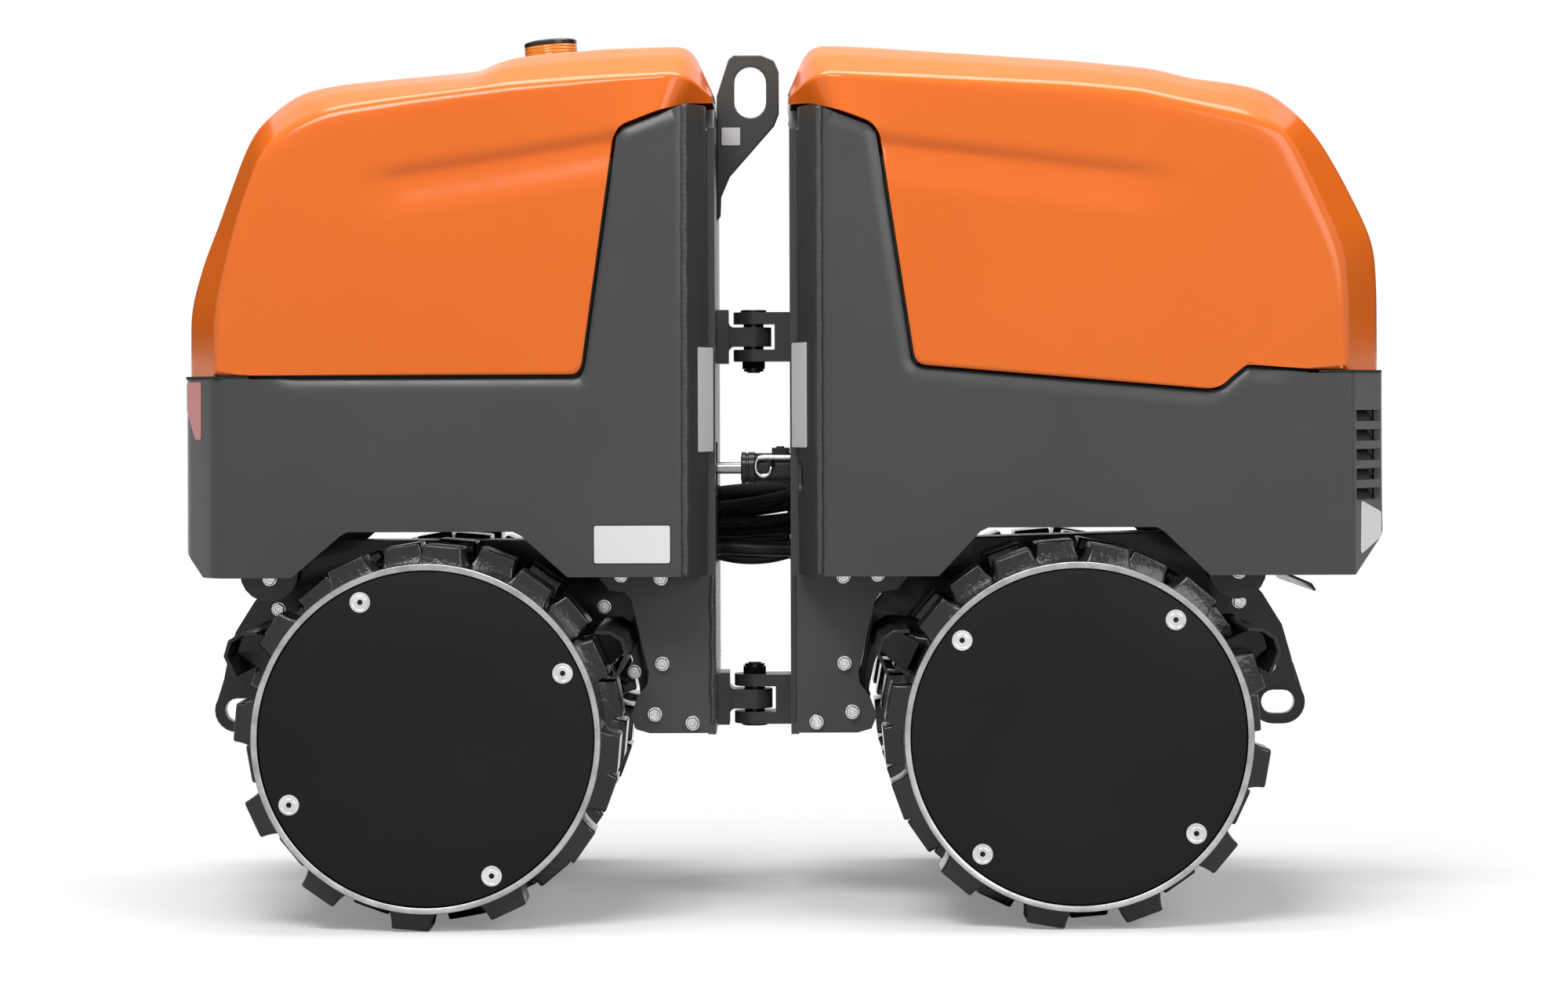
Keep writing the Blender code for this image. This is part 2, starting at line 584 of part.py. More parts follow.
def drum(half, side):
    """Padfoot drum half: a turned shell with its web, joined by its rows of tapered pads."""
    name = f"{half}_drum_{side}"
    sign = -1 if side == "right" else 1
    bore = (AXLE_R + SEAT_GAP) / cos(pi / DRUM_SIDES)
    profile = [(DRUM_R, DRUM_OUTER_Y), (RIM_R, DRUM_OUTER_Y), (RIM_R, WEB_Y + WEB_WALL),
               (bore, WEB_Y + WEB_WALL), (bore, WEB_Y), (RIM_R, WEB_Y), (RIM_R, DRUM_INNER_Y),
               (DRUM_R, DRUM_INNER_Y)]
    bm = bmesh.new()
    ring = [bm.verts.new((r, 0, y)) for r, y in profile]
    for a, b in zip(ring, ring[1:] + ring[:1]):
        bm.edges.new((a, b))
    body = from_bmesh(bm, name, "cast_drum")
    modify(body, "SCREW", steps=DRUM_SIDES, render_steps=DRUM_SIDES, use_merge_vertices=True,
           merge_threshold=0.0001, axis="Z")
    bpy.context.view_layer.update()
    turned = bpy.data.meshes.new_from_object(body.evaluated_get(bpy.context.evaluated_depsgraph_get()))
    body.modifiers.clear()
    bm = bmesh.new()
    bm.from_mesh(turned)
    bmesh.ops.rotate(bm, verts=bm.verts, matrix=Matrix.Rotation(-pi / 2, 3, "X"))
    bmesh.ops.recalc_face_normals(bm, faces=bm.faces)
    bm.to_mesh(turned)
    bm.free()
    body.data = turned
    pads = pad_mesh(name + "_pads")
    join(body, pads)
    centre = (AXLE_X[half], 0, AXLE_Z)
    flip = Matrix.Diagonal((1, sign, 1, 1))
    for thing in (body, pads):
        thing.data.transform(flip)
        if sign < 0:
            thing.data.flip_normals()
        thing.rotation_euler = (0, radians(PAD_TURN[half]), 0)
        thing.location = centre
    return body


def cover(half, side):
    """Flat disc that closes the drum's open end, just inside the machined ring."""
    sign = -1 if side == "right" else 1
    outer = DRUM_OUTER_Y - COVER_INSET
    radius = RIM_R * cos(pi / DRUM_SIDES) - SEAT_GAP
    x = AXLE_X[half]
    disc = rod(f"{half}_cover_{side}", (x, sign * (outer - COVER_WALL), AXLE_Z),
               (x, sign * outer, AXLE_Z), radius, "cover_plate", DRUM_SIDES)
    centre = Matrix.Translation((x, 0, AXLE_Z))
    turn = Matrix.Rotation(radians(PAD_TURN[half]) + pi / DRUM_SIDES, 4, "Y")
    disc.data.transform(centre @ turn @ centre.inverted())
    return disc


def bracket_outline(half):
    """Inner bracket plate below the frame: straight at the post, cut back round the drum."""
    out = side_sign(half)
    inside, top = HINGE_FACE_X[half] + out * PLATE, DECK_Z - SEAT_GAP
    line = round_drum(half, "inner", BRACKET_LINE)
    foot = POST_FOOT_Z + BRACKET_STEP
    return [(inside, foot), (line[0][0], foot), *line[1:], (line[-1][0], top), (inside, top)]


def round_drum(half, end, line, longer=0.0):
    """Points (x, z) round a half's drum from distances beyond the pads' tips and degrees above the axle."""
    away = side_sign(half) * (1 if end == "outer" else -1)
    return [(AXLE_X[half] + away * (TIP_R + beyond + longer) * cos(radians(angle)),
             AXLE_Z + (TIP_R + beyond + longer) * sin(radians(angle))) for beyond, angle in line]


def buffer_at(half, end):
    """Centre (x, z) of a half's inner or outer buffers."""
    away = side_sign(half) * (1 if end == "outer" else -1)
    return AXLE_X[half] + away * BUFFER_REACH[end], BUFFER_Z


def outer_bracket_outline(half):
    """Half-round plate under the frame's outer end, which the outer buffer bolts to."""
    x, z = buffer_at(half, "outer")
    top = DECK_Z + WELD_LAP
    r = OUTER_BRACKET_R
    return [(x + r, top), (x - r, top)] + arc((x, z + OUTER_BRACKET_UP), r, 180, 360, 10)


def post(half):
    """Hinge post: an upright plate with the side outline's height and its windows."""
    out = side_sign(half)
    face = HINGE_FACE_X[half]
    top = SEAM[half][-1][1] - POST_BELOW
    low, high = sorted((face, face + out * PLATE))
    chamfer = POST_CHAMFER
    y = POST_HALF_Y
    outline = [(-y, POST_FOOT_Z), (y, POST_FOOT_Z), (y, top - chamfer), (y - chamfer, top),
               (-y + chamfer, top), (-y, top - chamfer)]
    return plate(half + "_chassis", outline, low, high, "X", "grey_paint")


def chassis(half):
    """Welded chassis of one half: post, deck, bracket plates and the hitch's plates."""
    out = side_sign(half)
    face = HINGE_FACE_X[half]
    body = post(half)
    start = face + out * WELD_LAP
    end = END_X[half] - out * (FRAME_WALL + DECK_INSET[0])
    y = BODY_HALF_Y - FRAME_WALL - SEAT_GAP
    bend = face + out * (POST_BEND + DECK_INSET[1])
    corner = END_X[half] - out * (CORNER_RUN + DECK_INSET[1])
    half_plan = [(start, -POST_HALF_Y + DECK_INSET[2]), (bend, -y), (corner, -y),
                 (end, -END_HALF_Y + DECK_INSET[2])]
    tools = [plate(half + "_deck", mirrored(half_plan), DECK_Z, DECK_Z + DECK_WALL, "Z")]
    for side in (-1, 1):
        outer, inner = side * BRACKET_Y, side * (BRACKET_Y - PLATE)
        low, high = sorted((outer, inner))
        reach = bracket_outline(half)
        grown = [(x - out * WELD_LAP if abs(x - face) < PLATE + SEAT_GAP else x,
                  z + WELD_LAP if z > DECK_Z - WELD_LAP else z) for x, z in reach]
        tools.append(plate(f"{half}_inner_bracket", grown, low, high))
        tools.append(plate(f"{half}_outer_bracket", outer_bracket_outline(half), low, high))
    hitch_tools = tongues() if half == "rear" else forks()
    join(body, *tools, *hitch_tools)
    width, height = WINDOW[half]
    cut(body, block(half + "_ram_window", (face - 2 * PLATE, RAM_Y - width, RAM_Z - height),
                    (face + 2 * PLATE, RAM_Y + width, RAM_Z + height)))
    return body


def tongues():
    """Upper and lower hitch tongues on the rear post, each a block and a plate with a round end."""
    face = HINGE_FACE_X["rear"]
    thick, wide, high = TONGUE_BLOCK
    tools = []
    for name, z in HITCH_Z.items():
        low = max(z - high / 2, POST_FOOT_Z)
        tools.append(block(f"{name}_tongue_block", (face - WELD_LAP, -wide, low),
                           (face + thick, wide, z + high / 2)))
        outline = [(face + WELD_LAP, -TONGUE_R), *arc((PIN_X, 0), TONGUE_R, -90, 90, 12),
                   (face + WELD_LAP, TONGUE_R)]
        tongue = plate(f"{name}_tongue", outline, z - TONGUE_WALL / 2, z + TONGUE_WALL / 2, "Z")
        bore = rod(f"{name}_tongue_bore", (PIN_X, 0, z - TONGUE_WALL), (PIN_X, 0, z + TONGUE_WALL),
                   PIN_R + TONGUE_PLAY)
        cut(tongue, bore)
        tools.append(tongue)
    return tools


def forks():
    """Upper and lower hitch forks on the front post: a root block and two round-ended arms each."""
    face = HINGE_FACE_X["front"]
    half_high = TONGUE_WALL / 2 + MOVING_GAP + FORK_WALL
    tools = []
    for name, z in HITCH_Z.items():
        low = max(z - half_high, POST_FOOT_Z)
        tools.append(block(f"{name}_fork_root", (face - FORK_ROOT_WALL, -FORK_R, low),
                           (face + WELD_LAP, FORK_R, z + half_high)))
        inside = face - FORK_ROOT_WALL / 2
        outline = [(inside, FORK_R), *arc((PIN_X, 0), FORK_R, 90, 270, 12), (inside, -FORK_R)]
        for k in (-1, 1):
            edges = sorted((z + k * half_high, z + k * (TONGUE_WALL / 2 + MOVING_GAP)))
            arm = plate(f"{name}_fork_arm", outline, *edges, "Z")
            bore = rod(f"{name}_fork_bore", (PIN_X, 0, edges[0] - WELD_LAP), (PIN_X, 0, edges[1] + WELD_LAP),
                       PIN_R + SEAT_GAP)
            cut(arm, bore)
            tools.append(arm)
    return tools


def hitch_pin(name):
    """Pin through the fork and tongue, with its castle nut on the outer side."""
    z = HITCH_Z[name]
    half_high = TONGUE_WALL / 2 + MOVING_GAP + FORK_WALL
    out = -1 if name == "upper" else 1
    tip, head = z + out * (half_high + NUT_HIGH), z - out * (half_high + PIN_PROUD)
    pin = rod(f"{name}_hitch_pin", (PIN_X, 0, head), (PIN_X, 0, tip), PIN_R, "zinc", 32)
    seat = z + out * (half_high + SEAT_GAP)
    join(pin, rod(f"{name}_hitch_nut", (PIN_X, 0, seat), (PIN_X, 0, seat + out * NUT_HIGH * 0.8),
                  NUT_R, sides=6))
    return pin


def lifting_eye():
    """Flame-cut lifting plate with its slot, on the rear post."""
    eye = plate("lifting_eye", EYE_OUTLINE, -EYE_WALL / 2, EYE_WALL / 2, material="grey_paint")
    cut(eye, plate("lifting_slot", slot_outline(EYE_SLOT_AT, *EYE_SLOT, 10), -EYE_WALL, EYE_WALL))
    return eye


def scrapers(half):
    """Bent loops across the drums on both sides of the axle, with teeth between the rows of pads."""
    pitch = (DRUM_OUTER_Y - DRUM_INNER_Y) / PAD_ROWS
    tools = []
    for end in ("inner", "outer"):
        line = round_drum(half, end, SCRAPER_LINE)
        away = side_sign(half) * (1 if end == "outer" else -1)
        outer = offset_line(line, SCRAPER_WALL * away)
        tools.append(plate(f"{half}_scraper_{end}", outer + list(reversed(line)),
                           -SCRAPER_HALF_Y, SCRAPER_HALF_Y))
        middle = offset_line(line, SCRAPER_WALL * away / 2)
        tooth = middle[1:-1] + round_drum(half, end, [(TOOTH_R - TIP_R, angle) for angle in TOOTH_ANGLES])
        for side in (-1, 1):
            for row in range(1, PAD_ROWS):
                y = side * (DRUM_INNER_Y + row * pitch)
                tools.append(plate(f"{half}_tooth_{end}", tooth, y - TOOTH_WALL / 2, y + TOOTH_WALL / 2))
    return tools


def tow_eye(half):
    """Rim round the towing slot, with its root in the carrier's outer arm."""
    out = side_sign(half)
    away, up = TOW_AT[half]
    radius = TOW_R + TOW_RIM
    wide, high = TOW_NECK
    outline = arc((away - TOW_STRAIGHT, up), radius, 180, 270, 6)
    outline += arc((away + TOW_STRAIGHT, up), radius, 270, 390, 8)
    outline += [(away + wide, up + high), (away - wide, up + high)]
    return plate(half + "_tow_rim", [(AXLE_X[half] + out * x, AXLE_Z + z) for x, z in outline],
                 -TOW_WALL / 2, TOW_WALL / 2)


def tow_slot(half):
    """Cutter of the towing slot, right across the carrier."""
    out = side_sign(half)
    away, up = TOW_AT[half]
    outline = arc((away + TOW_STRAIGHT, up), TOW_R, -90, 90, 8)
    outline += arc((away - TOW_STRAIGHT, up), TOW_R, 90, 270, 8)
    return plate(half + "_tow_slot", [(AXLE_X[half] + out * x, AXLE_Z + z) for x, z in outline],
                 -CUT_Y, CUT_Y)


def carrier(half):
    """Drum carrier between the drum halves: web, arms round the drum, axle, crossbars and tow eye."""
    ax = AXLE_X[half]
    limit = DECK_Z - MOVING_GAP * 2
    root = ARM_INNER_R - TIP_R
    ends = {}
    for end in ("outer", "inner"):
        first = ARM_LINE[end][0][1]
        longer = ARM_LONGER[half] if end == "outer" else 0.0
        rise = [(x, min(z, limit)) for x, z in round_drum(half, end, ARM_LINE[end], longer)]
        inside = round_drum(half, end, [(root, ARM_ROOT + (first - ARM_ROOT) * k / 4) for k in range(5)])
        ends[end] = inside + rise
    away = side_sign(half)
    notch_x, notch_z = WEB_NOTCH
    lower = arc((0, 0), WEB_HUB_R, 200, 340, 12)
    web = ends["outer"] + list(reversed(ends["inner"]))
    web += [(ax + away * x, AXLE_Z + z) for x, z in [(-notch_x, notch_z), *lower, (notch_x, notch_z)]]
    body = plate(half + "_carrier", web, -CARRIER_HALF_Y, CARRIER_HALF_Y, material="black_paint")
    axle_y, hub_y = WEB_Y + WEB_WALL + AXLE_PROUD, WEB_Y - MOVING_GAP
    tools = [rod(half + "_axle", (ax, -axle_y, AXLE_Z), (ax, axle_y, AXLE_Z), AXLE_R, sides=32),
             rod(half + "_hub", (ax, -hub_y, AXLE_Z), (ax, hub_y, AXLE_Z), HUB_R, sides=32)]
    for end in ("inner", "outer"):
        x, z = buffer_at(half, end)
        tools.append(rod(half + "_crossbar", (x, -CROSSBAR_END_Y, z), (x, CROSSBAR_END_Y, z),
                         BUFFER_R, sides=16))
    join(body, *tools, tow_eye(half), *scrapers(half))
    cut(body, tow_slot(half))
    return body


def buffers(half):
    """Four rubber buffers between the carrier's crossbars and the bracket plates."""
    made = []
    for end in ("inner", "outer"):
        x, z = buffer_at(half, end)
        for side, sign in (("right", -1), ("left", 1)):
            made.append(rod(f"{half}_buffer_{end}_{side}", (x, sign * (CROSSBAR_END_Y + SEAT_GAP), z),
                            (x, sign * (BRACKET_Y - PLATE - SEAT_GAP), z), BUFFER_R, "rubber", 16))
    return made


def steering_cylinder():
    """Barrel that swings in the front half and rod that slides out of it to the rear half."""
    y, z = RAM_Y, RAM_Z
    def upright(name, x, radius, half_high):
        return rod(name, (x, y, z - half_high), (x, y, z + half_high), radius)

    barrel_end = BARREL_EYE_X - EYE_R - BARREL_R
    barrel = rod("cylinder_barrel", (GLAND_X, y, z), (barrel_end, y, z), BARREL_R, "black_paint")
    neck = rod("barrel_neck", (barrel_end - BARREL_R, y, z), (BARREL_EYE_X - EYE_R * 0.6, y, z), ROD_R)
    eye = upright("barrel_eye", BARREL_EYE_X, EYE_R, EYE_HALF_Z)
    pin_hole = upright("barrel_pin_hole", BARREL_EYE_X, RAM_PIN_R + RAM_PIN_PLAY, 2 * EYE_HALF_Z)
    bore = rod("barrel_bore", (GLAND_X - ROD_R, y, z), (BORE_END_X, y, z), ROD_R + SEAT_GAP)
    cut(join(barrel, neck, eye), pin_hole, bore)
    moved_to(barrel, (BARREL_EYE_X, y, z))
    piston = rod("cylinder_rod", (ROD_EYE_X + EYE_R * 0.6, y, z), (ROD_END_X, y, z), ROD_R, "chrome")
    rod_eye = upright("rod_eye", ROD_EYE_X, EYE_R, EYE_HALF_Z)
    cut(join(piston, rod_eye), upright("rod_pin_hole", ROD_EYE_X, ROD_EYE_BORE, 2 * EYE_HALF_Z))
    return barrel, piston


def ram_mounts():
    """Ears inside each half for the steering cylinder's eyes, standing on the deck."""
    made = []
    y, z = RAM_Y, RAM_Z
    deck_top = DECK_Z + DECK_WALL + SEAT_GAP
    right, left = y - EAR_HALF_Y, y + EAR_HALF_Y
    for half, x, gap in (("rear", ROD_EYE_X, MOVING_GAP), ("front", BARREL_EYE_X, EYE_PLAY)):
        out = side_sign(half)
        name = half + "_ram_mount"
        low, high = z - EYE_HALF_Z - gap, z + EYE_HALF_Z + gap
        reach = x + out * (EYE_R + EAR_REACH[1])
        near, far = sorted((x - out * EAR_REACH[0], reach + out * EAR_WALL))
        start, end = sorted((reach, reach + out * EAR_WALL))
        stand = block(name, (near, right, deck_top), (far, left, low), "grey_paint")
        join(stand, block(name + "_back", (start, right, low - WELD_LAP), (end, left, high + EAR_WALL)),
             block(name + "_cap", (near, right, high), (far, left, high + EAR_WALL)))
        if half == "front":
            join(stand, rod(name + "_pin", (x, y, low - WELD_LAP), (x, y, high + WELD_LAP),
                            RAM_PIN_R, sides=16))
        made.append(stand)
    return made


def hoses():
    """Hoses and conduits that hang between the two posts."""
    start = HINGE_FACE_X["rear"] + SEAT_GAP
    end = HINGE_FACE_X["front"] - SEAT_GAP
    for name, radius, rear_y, front_y, above_deck, sag in HOSES:
        curve = bpy.data.curves.new(name, "CURVE")
        curve.dimensions = "3D"
        curve.bevel_depth = radius
        curve.bevel_resolution = 2
        curve.use_fill_caps = True
        spline = curve.splines.new("POLY")
        spline.points.add(HOSE_POINTS - 1)
        for k, point in enumerate(spline.points):
            t = k / (HOSE_POINTS - 1)
            bent = min(max((k - 1) / (HOSE_POINTS - 3), 0.0), 1.0)
            ease = bent * bent * (3 - 2 * bent)
            drop = sag * sin(pi * bent) ** 2
            across = rear_y + (front_y - rear_y) * ease
            point.co = (start + (end - start) * t, across, DECK_Z + above_deck - drop, 1)
        tube = bpy.data.objects.new(name, curve)
        PARTS.objects.link(tube)
        curve.materials.append(finish("rubber"))


def facet_slot(frame):
    """Oval slot through the folded facet beside the front post."""
    y, z, radius, straight = FACET_SLOT
    face = HINGE_FACE_X["front"]
    cut(frame, plate("facet_slot", slot_outline((y, z), radius, straight), face - PLATE,
                     face + POST_BEND, "X"))


def louvres(frame):
    """Rows of louvre slots through the front end's corner facets and end wall."""
    for row in range(LOUVRE_ROWS):
        z = LOUVRE_TOP - row * LOUVRE_PITCH
        for low_y, high_y in LOUVRE_SPANS:
            x = END_X["front"]
            cut(frame, block(f"louvre_{row}", (x - CORNER_RUN * 1.2, low_y, z - LOUVRE_HIGH),
                             (x + FRAME_WALL, high_y, z)))


def engine():
    """Engine as one plain block on the front deck."""
    low = (*ENGINE_LOW, DECK_Z + DECK_WALL + SEAT_GAP)
    return block("engine_block", low, (*ENGINE_HIGH, ENGINE_TOP), "cast_block")


def deflector():
    """Bent strip below the front end."""
    line = [(x, FRAME_FOOT_Z + z) for x, z in DEFLECTOR]
    back = offset_line(line, -DEFLECTOR_WALL)
    return plate("deflector", line + list(reversed(back)), -DEFLECTOR_HALF_Y, DEFLECTOR_HALF_Y,
                 material="black_paint")


def beacon():
    """Warning beacon on the rear hood's bump: flange, lens and cap."""
    (low_x, low_z), (high_x, high_z) = BUMP
    slope = (high_z - low_z) / (high_x - low_x)
    up = Vector((-slope, 0, 1)).normalized()
    foot = Vector((BEACON_X, 0, low_z + slope * (BEACON_X - low_x)))
    made = []
    height = 0.0
    for name, (radius, high), material in (("beacon_base", BEACON_BASE, "black_paint"),
                                           ("beacon_lens", BEACON_LENS, "amber"),
                                           ("beacon_cap", BEACON_CAP, "black_paint")):
        made.append(rod(name, foot + up * (height + SEAT_GAP), foot + up * (height + high), radius,
                        material, sides=32))
        height += high
    return made


def build():
    """Makes every part of the roller."""
    for half in ("rear", "front"):
        frame = body_frame(half)
        if half == "front":
            louvres(frame)
            facet_slot(frame)
        chassis(half)
        carrier(half)
        buffers(half)
        hood(half)
        seal(half)
        for side in ("right", "left"):
            drum(half, side)
            cover(half, side)
    lid()
    beacon()
    lifting_eye()
    for name in HITCH_Z:
        hitch_pin(name)
    steering_cylinder()
    ram_mounts()
    hoses()
    engine()
    deflector()


build()
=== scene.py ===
"""Looks of an articulated trench roller: finishes, moulded hoods, folded plate, cast drums and small parts.

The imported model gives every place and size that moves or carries. This script dresses it in metres, in the
same frame: +X to the front half, +Z up, and the photographed side faces -Y.
"""
from __future__ import annotations

import json
import logging
from dataclasses import dataclass
from enum import Enum
from math import atan2, cos, pi, radians, sin
from typing import Iterable, Sequence

import bmesh
import bpy
import numpy as np
from mathutils import Matrix

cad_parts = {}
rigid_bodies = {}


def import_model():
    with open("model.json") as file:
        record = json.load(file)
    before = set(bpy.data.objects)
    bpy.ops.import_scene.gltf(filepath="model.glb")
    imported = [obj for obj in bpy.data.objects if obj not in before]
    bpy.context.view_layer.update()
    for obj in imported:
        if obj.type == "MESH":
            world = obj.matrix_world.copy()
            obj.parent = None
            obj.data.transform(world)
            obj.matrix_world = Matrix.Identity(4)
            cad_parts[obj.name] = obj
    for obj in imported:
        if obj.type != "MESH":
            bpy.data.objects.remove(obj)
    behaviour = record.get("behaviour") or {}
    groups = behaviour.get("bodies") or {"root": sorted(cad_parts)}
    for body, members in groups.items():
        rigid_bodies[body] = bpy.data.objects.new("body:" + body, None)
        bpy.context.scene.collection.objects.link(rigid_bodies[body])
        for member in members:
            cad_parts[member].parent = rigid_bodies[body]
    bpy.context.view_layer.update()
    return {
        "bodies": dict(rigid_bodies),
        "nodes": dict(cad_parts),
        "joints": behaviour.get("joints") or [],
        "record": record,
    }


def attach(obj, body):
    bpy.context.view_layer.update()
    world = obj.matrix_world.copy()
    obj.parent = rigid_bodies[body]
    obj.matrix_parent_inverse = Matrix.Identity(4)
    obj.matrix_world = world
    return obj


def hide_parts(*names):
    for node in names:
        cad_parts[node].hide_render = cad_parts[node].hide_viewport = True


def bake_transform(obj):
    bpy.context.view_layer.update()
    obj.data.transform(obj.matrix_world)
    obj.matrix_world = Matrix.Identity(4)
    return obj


LOG = logging.getLogger("trench_roller")
Colour = tuple[float, float, float]
Point = tuple[float, float, float]
Pair = tuple[float, float]
Line = Sequence[Pair]
Faces = np.ndarray | list[list[int]]
Shape = tuple[np.ndarray, Faces]
NOISE_BAND = (0.3, 0.7)


class Part(Enum):
    """A part of the machine whose name, in small letters, is in the names of its nodes."""

    @property
    def label(self) -> str:
        """The word for it in the names of nodes."""
        return self.name.lower()


class Half(Part):
    """The two body halves, with the way their outer ends point."""

    REAR = -1
    FRONT = 1

    @property
    def body(self) -> str:
        """The CAD body that carries this half."""
        return f"{self.label}_half"


class Side(Part):
    """The machine's two sides, with the sign of y."""

    RIGHT = -1
    LEFT = 1


class Nodes:
    """A short way to add and wire the nodes of a tree."""

    def __init__(self, tree: bpy.types.NodeTree) -> None:
        """Starts on a tree.

        Args:
            tree: the node tree to add to.
        """
        self.tree = tree

    def node(self, kind: str, inputs: dict[str | int, object], **settings: object) -> bpy.types.Node:
        """Adds a node, links or fills its inputs and sets its options.

        Args:
            kind: the node's type, without the ShaderNode that starts it.
            inputs: sockets by name or number, each a value or an output to link.
            settings: the node's own options.

        Returns:
            The new node.
        """
        made = self.tree.nodes.new("ShaderNode" + kind)
        for key, value in settings.items():
            setattr(made, key, value)
        for key, value in inputs.items():
            if isinstance(value, bpy.types.NodeSocket):
                self.tree.links.new(value, made.inputs[key])
            else:
                made.inputs[key].default_value = value
        return made


class Graph(Nodes):
    """The nodes of one procedural material."""

    def __init__(self, name: str) -> None:
        """Starts a material that holds only its Principled shader and output.

        Args:
            name: the material's name.
        """
        self.material = bpy.data.materials.new(name)
        self.material.use_nodes = True
        super().__init__(self.material.node_tree)
        self.shader = self.tree.nodes["Principled BSDF"]
        self.place = self.tree.nodes.new("ShaderNodeTexCoord").outputs["Object"]

    def set(self, **values: object) -> None:
        """Sets the shader's own sockets, by names with underscores for spaces."""
        for key, value in values.items():
            self.shader.inputs[key.replace("_", " ")].default_value = value

    def stretched(self, scale: Point) -> bpy.types.NodeSocket:
        """Object coordinates stretched by a scale along each axis."""
        return self.node("Mapping", {"Vector": self.place, "Scale": scale}).outputs["Vector"]

    def noise(self, scale: float, detail: float = 4.0, source: bpy.types.NodeSocket | None = None,
              roughness: float = 0.55) -> bpy.types.NodeSocket:
        """A noise's grey value on Object coordinates, or on the source given."""
        inputs = {"Vector": source or self.place, "Scale": scale, "Detail": detail, "Roughness": roughness}
        return self.node("TexNoise", inputs).outputs["Fac"]

    def ramp(self, value: bpy.types.NodeSocket, low: float, high: float,
             start: float = 0.0, end: float = 1.0) -> bpy.types.NodeSocket:
        """A value moved from low..high to start..end, and held at the ends."""
        inputs = {"Value": value, "From Min": low, "From Max": high, "To Min": start, "To Max": end}
        return self.node("MapRange", inputs).outputs["Result"]

    def tint(self, value: bpy.types.NodeSocket, band: Pair, first: Colour, second: Colour) -> None:
        """Drives the base colour: the first below a band of the value, the second above it."""
        share = self.ramp(value, *band)
        made = self.node("Mix", {0: share, 6: (*first, 1.0), 7: (*second, 1.0)}, data_type="RGBA")
        self.link(made.outputs[2], "Base Color")

    def roughen(self, value: bpy.types.NodeSocket, roughness: float, shares: Pair) -> None:
        """Drives the roughness by a noise, from one share of the roughness given to another."""
        low, high = (roughness * share for share in shares)
        self.link(self.ramp(value, *NOISE_BAND, low, high), "Roughness")

    def link(self, value: bpy.types.NodeSocket, socket: str) -> None:
        """Links an output to one of the shader's sockets."""
        self.tree.links.new(value, self.shader.inputs[socket])

    def bump(self, height: bpy.types.NodeSocket, strength: float, distance: float,
             under: bpy.types.NodeSocket | None = None) -> bpy.types.NodeSocket:
        """A bump from a height, on top of another bump if one is given."""
        inputs: dict[str | int, object] = {"Height": height, "Strength": strength, "Distance": distance}
        if under:
            inputs["Normal"] = under
        return self.node("Bump", inputs).outputs["Normal"]


@dataclass(frozen=True)
class Paint:
    """A sprayed finish: faint orange peel, slow colour drift and a little dust in its roughness."""

    name: str
    colour: Colour
    drift: Colour
    roughness: float
    gloss_coat: float = 0.0
    peel_scale: float = 260.0
    peel: float = 0.05
    shine: float = 0.5
    drift_scale: float = 3.1
    drift_band: Pair = (0.35, 0.65)
    dust_scale: float = 22.0
    dust: Pair = (0.88, 1.14)
    peel_depth: float = 0.0006

    def build(self) -> bpy.types.Material:
        """The finish as a material: noise drives colour, roughness and a fine bump."""
        g = Graph(self.name)
        g.set(Specular_IOR_Level=self.shine, Coat_Weight=self.gloss_coat, Coat_Roughness=0.06)
        g.tint(g.noise(self.drift_scale, 3.0), self.drift_band, self.colour, self.drift)
        g.roughen(g.noise(self.dust_scale, 5.0), self.roughness, self.dust)
        g.link(g.bump(g.noise(self.peel_scale, 2.0), self.peel, self.peel_depth), "Normal")
        return g.material


@dataclass(frozen=True)
class Casting:
    """Painted rough casting: pebbled bump under a glossy film, worn a little paler on the high grains."""

    name: str
    colour: Colour
    worn: Colour
    roughness: float
    grain_scale: float = 190.0
    grain: float = 0.35
    shine: float = 0.3
    film: float = 0.25
    grain_depth: float = 0.0020
    worn_band: Pair = (0.58, 0.80)
    lump_scale: float = 34.0
    lump: float = 0.30
    lump_depth: float = 0.004

    def build(self) -> bpy.types.Material:
        """The finish as a material: two noises make the grain, and its peaks take the worn colour."""
        g = Graph(self.name)
        g.set(Specular_IOR_Level=self.shine, Coat_Weight=self.film, Coat_Roughness=0.10)
        grain = g.noise(self.grain_scale, 3.0)
        lumps = g.noise(self.lump_scale, 2.0)
        g.tint(grain, self.worn_band, self.colour, self.worn)
        g.roughen(lumps, self.roughness, (0.7, 1.4))
        coarse = g.bump(lumps, self.lump, self.lump_depth)
        g.link(g.bump(grain, self.grain, self.grain_depth, coarse), "Normal")
        return g.material


@dataclass(frozen=True)
class Metal:
    """Bare or plated metal with fine marks stretched along one axis."""

    name: str
    colour: Colour
    dull: Colour
    roughness: float
    stretch: Point = (1.0, 1.0, 1.0)
    marks: float = 0.08
    mark_scale: float = 240.0
    mark_depth: float = 0.0004
    dull_scale: float = 30.0

    def build(self) -> bpy.types.Material:
        """The finish as a material: stretched noise drives roughness and bump, a slow one the colour."""
        g = Graph(self.name)
        g.set(Metallic=1.0)
        fine = g.noise(self.mark_scale, 4.0, g.stretched(self.stretch))
        g.tint(g.noise(self.dull_scale, 3.0), (0.4, 0.7), self.colour, self.dull)
        g.roughen(fine, self.roughness, (0.75, 1.3))
        g.link(g.bump(fine, self.marks, self.mark_depth), "Normal")
        return g.material


